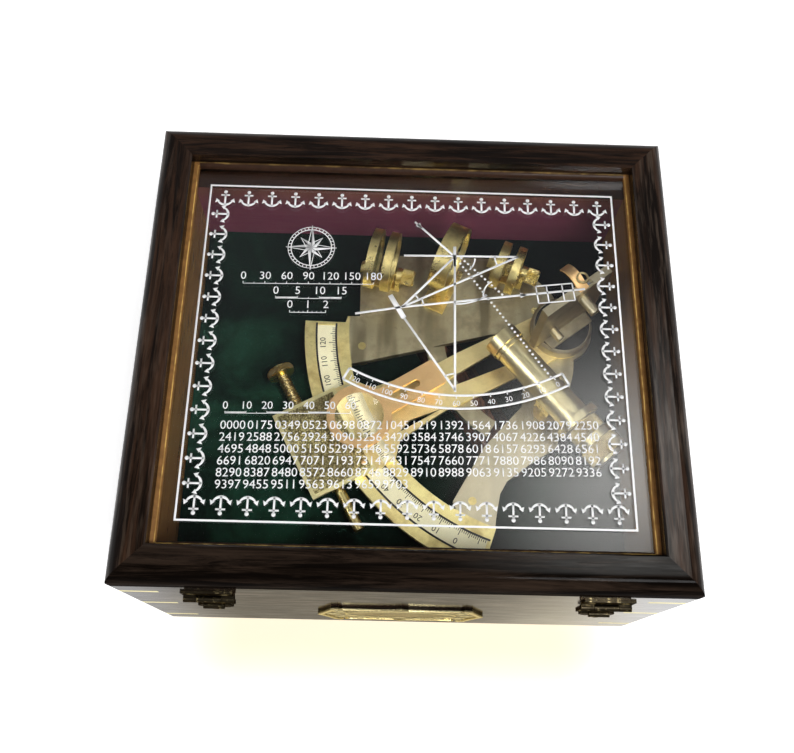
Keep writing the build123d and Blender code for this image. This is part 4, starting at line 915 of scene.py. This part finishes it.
def bentStrip(path, width, thickness, origin, forward, sideways):
    # rectangle section swept along a path of (reach, height) points, its long side across the path
    path = np.asarray(path, float)
    normal = lineNormals(path) * thickness / 2
    rings = []
    for side, lift in ((-1, -1), (1, -1), (1, 1), (-1, 1)):
        line = path + lift * normal
        reach = line[:, :1] * np.asarray(forward, float) + side * width / 2 * np.asarray(sideways, float)
        rings.append(np.asarray(origin, float) + reach + np.column_stack([np.zeros((len(line), 2)), line[:, 1]]))
    points = np.stack(rings, axis=1).reshape(-1, 3)
    last = 4 * (len(path) - 1)
    return points, gridFaces(len(path), 4, False, True) + [[3, 2, 1, 0], [last, last + 1, last + 2, last + 3]]


mirrorTurn = 37.5
clipForward, clipSide = direction(mirrorTurn + 90), direction(mirrorTurn)
clip = {
    "spot": (*(pivot + 3.2 * polar(mirrorTurn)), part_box("index_mirror_bracket")[1].z / mm),
    "width": 6.0, "thickness": 0.7,
    "path": [(-1.4, 0.38), (0.5, 0.4), (2.5, 0.75), (5.0, 1.9), (8.0, 2.6), (11.0, 2.3), (14.0, 1.0), (15.4, -0.4)],
}
clipStrip = bentStrip(clip["path"], clip["width"], clip["thickness"], clip["spot"], clipForward, clipSide)
addPiece("mirrorClip", [clipStrip], brassWarm, "index_arm", 40)

ring = {"spot": np.asarray(clip["spot"]) + 4.2 * clipForward + 2.5 * clipSide + (0, 0, 2.3), "radius": 2.9, "wire": 0.6}
ringAngle = np.linspace(0, 2 * np.pi, 13)[:-1]
ringProfile = [[ring["wire"] * math.sin(a), ring["radius"] + ring["wire"] * math.cos(a), 0] for a in ringAngle]
addPiece("mirrorRing", [turned(ringProfile, ring["spot"], (0, 0, 1), 40)], brassOld, "index_arm", 40)

armHeads = {"spots": [(96.0, -4.0), (137.5, -20.0), (137.5, 20.0), (137.5, 0.0)], "radius": 1.5, "plateFrom": 133.0}
plateTop = armTop + 2.0
heads = [
    screwHead((*armSpot(s, t), plateTop if s > armHeads["plateFrom"] else armTop), (0, 0, 1), armHeads["radius"])
    for s, t in armHeads["spots"]
]
addPiece("armScrewHeads", heads, brassWarm, "index_arm", 30)

slot = {"length": 3.0, "width": 0.45, "lift": 0.02, "depth": 0.04}


def addSlots(name, spots, body):
    # narrow dark bars across screw heads, drawn on the heads' plane
    normal, first, second = sideVectors((0, -1, 0))
    line = flatStrip([(-slot["length"] / 2, 0), (slot["length"] / 2, 0)], slot["width"])
    bars = [
        onPlane(moved(line, (0, 0), turn), np.asarray(spot, float) + normal * slot["lift"], first, second)
        for spot, turn in spots
    ]
    addPiece(name, bars, engraving, body, 30, thickness=slot["depth"], closed=False)


caseFront = -119.0
lidSpots = []
for x in (-92.0, 96.0):
    lidSpots += [((x - 8.0, caseFront - 1.0, 118.0), 35), ((x + 8.0, caseFront - 1.0, 118.0), 110)]
addSlots("lidScrewSlots", lidSpots, "lid")
plaque = {
    "centre": 50.0, "face": caseFront - 1.2, "height": 0.55,
    "screws": [(-26.7, 50.0, 20), (0, 34.4, 75), (26.7, 50.0, 130)],
}
addSlots("plaqueScrewSlots", [((x, plaque["face"], z), turn) for x, z, turn in plaque["screws"]], "root")

# ---------- plaque relief
def ridge(line, width, height, closed=False):
    # raised half-round moulding: offset across the line = width / 2 * cos a, height = height * sin a
    line = np.asarray(line, float)
    angle = np.linspace(0, np.pi, 7)
    flat = line[:, None, :] + (width / 2 * np.cos(angle))[None, :, None] * lineNormals(line, closed)[:, None, :]
    rise = np.broadcast_to(height * np.sin(angle) - 0.08, flat.shape[:2])
    points = np.concatenate([flat, rise[..., None]], axis=2).reshape(-1, 3)
    return points, gridFaces(len(line), 7, closed, True)


def curl(centre, start, turns, size):
    # spiral whose radius shrinks evenly with the angle
    share = np.linspace(0, 1, 40)
    angle = math.radians(start) + turns * 2 * np.pi * share
    return circlePoints(centre, size * (1 - 0.82 * share), angle)


scroll = {
    "curls": (((32.6, 12.4), 200, 4.2), ((21.5, 16.8), 20, 3.0), ((10.0, 18.2), 20, 2.3)), "turns": 1.4, "rise": 0.5,
}


def plaqueRelief():
    # oval band = (29.5 cos a, 14 sin a (1 + 0.06 cos 4a)), with curls and a lozenge mirrored to both sides
    angle = np.linspace(0, 2 * np.pi, 97)[:-1]
    oval = np.stack([29.5 * np.cos(angle), 14.0 * np.sin(angle) * (1 + 0.06 * np.cos(4 * angle))], axis=1)
    shapes = [ridge(oval, 1.3, plaque["height"], True)]
    for sideX in (-1, 1):
        for sideY in (-1, 1):
            for centre, start, size in scroll["curls"]:
                line = curl(centre, start, scroll["turns"], size) * np.array([sideX, sideY])
                shapes.append(ridge(line, 0.9, scroll["rise"]))
        for lift in (2.2, -2.2):
            line = [(sideX * 32.0, 0.0), (sideX * 35.5, lift), (sideX * 39.5, 0.0)]
            shapes.append(ridge(line, 1.0, scroll["rise"]))
    return [
        (np.stack([points[:, 0], plaque["face"] - points[:, 2], plaque["centre"] + points[:, 1]], axis=1), faces)
        for points, faces in shapes
    ]


addPiece("plaqueRelief", plaqueRelief(), plaqueBrass, "root", 50, closed=False)
print("plaque dressed")

# ---------- camera, light and table
camera = bpy.data.cameras.new("viewCamera")
camera.lens = 39.76
camera.sensor_width = 36.0
camera.sensor_fit = "HORIZONTAL"
camera.clip_start = 0.01
cameraObject = addObject("viewCamera", camera)
cameraObject.matrix_world = Matrix((
    (0.999528, -0.026395, -0.015698, -0.012675),
    (0.019029, 0.933520, -0.358020, -0.169681),
    (0.024104, 0.357552, 0.933582, 0.537833),
    (0, 0, 0, 1),
))
bpy.context.scene.camera = cameraObject
bpy.context.scene.view_settings.view_transform = "Standard"

lamps = {"keyLamp": ((0.42, -0.50, 1.35), 14.5), "fillLamp": ((-0.90, -0.45, 1.0), 4.5)}
lampTarget, lampSize = Vector((0, 0, 0.08)), 0.4
for name, (spot, power) in lamps.items():
    lamp = bpy.data.lights.new(name, "AREA")
    lamp.shape = "DISK"
    lamp.size = lampSize
    lamp.energy = power
    holder = addObject(name, lamp)
    holder.location = spot
    holder.rotation_euler = (lampTarget - Vector(spot)).to_track_quat("-Z", "Y").to_euler()

mirroredPatch = {"towards": (0.26, 0.25, 0.93), "reach": 0.24, "colour": (1.0, 0.99, 0.95), "strength": 4.0}


def makeWorld():
    # white to the camera; for everything else pale low down, dim above and nearly black overhead, with one soft
    # bright patch that the pane mirrors
    world = bpy.data.worlds.new("studio")
    bpy.context.scene.world = world
    world.use_nodes = True
    g = shaderGraph(world.node_tree)
    shade = g.tree.nodes["Background"]
    place = g.add("TexCoord").outputs["Generated"]
    height = g.axes(place)[2]
    colour = g.mix(g.ramp(height, 0.0, 0.6), (0.6, 0.6, 0.6), (0.15, 0.15, 0.16))
    colour = g.mix(g.ramp(height, 0.86, 0.99), colour, (0.018, 0.016, 0.014))
    away = g.measure("DISTANCE", place, mirroredPatch["towards"])
    colour = g.mix(g.ramp(away, mirroredPatch["reach"], 0.0), colour, mirroredPatch["colour"])
    strength = g.ramp(away, mirroredPatch["reach"], 0.0, 1.0, mirroredPatch["strength"])
    g.put(shade, {"Color": colour, "Strength": strength})
    white = g.put(g.add("Background"), {"Color": (1, 1, 1), "Strength": 1.0})
    cameraRay = g.add("LightPath").outputs["Is Camera Ray"]
    mix = g.put(g.add("MixShader"), {0: cameraRay, 1: shade.outputs[0], 2: white.outputs[0]})
    g.put(g.tree.nodes["World Output"], {0: mix.outputs[0]})


makeWorld()
tableSizes = {"reach": 4.0, "drop": 0.0002, "glossy": 0.19, "glowNear": 0.63, "glowFar": 1.0}


def makeTable():
    # flat table far wider than the view, pale, with a painted warm shade just before the case, and a little brighter
    # to the camera than its own light makes it
    mesh = bpy.data.meshes.new("table")
    r = tableSizes["reach"]
    mesh.from_pydata([(-r, -r, 0), (r, -r, 0), (r, r, 0), (-r, r, 0)], [], [(0, 1, 2, 3)])
    material, g, shader, place = startMaterial("paleTable")
    rays = g.add("LightPath").outputs
    glow = g.ramp(g.measure("LENGTH", place), 0.45, 1.2, tableSizes["glowNear"], tableSizes["glowFar"])
    x, y, z = g.axes(place)
    # near: the patch just before the case, a painted warm shade cast by the case
    near = g.times(g.ramp(g.plain(x), 0.17, 0.09), g.ramp(y, -0.19, -0.13))
    near = g.times(near, g.ramp(y, 0.1, 0.0))
    g.put(shader, {
        "Roughness": 0.6, "Specular IOR Level": 0.1,
        "Base Color": g.mix(near, (0.9, 0.9, 0.9), (0.77, 0.70, 0.54)),
        "Emission Color": g.mix(near, (1.0, 1.0, 1.0), (0.66, 0.57, 0.43)),
        "Emission Strength": g.larger(
            g.times(rays["Is Camera Ray"], glow), g.times(rays["Is Glossy Ray"], tableSizes["glossy"])
        ),
    })
    mesh.materials.append(material)
    table = addObject("table", mesh)
    table.location.z = -tableSizes["drop"]


makeTable()
print("camera, light and table set")
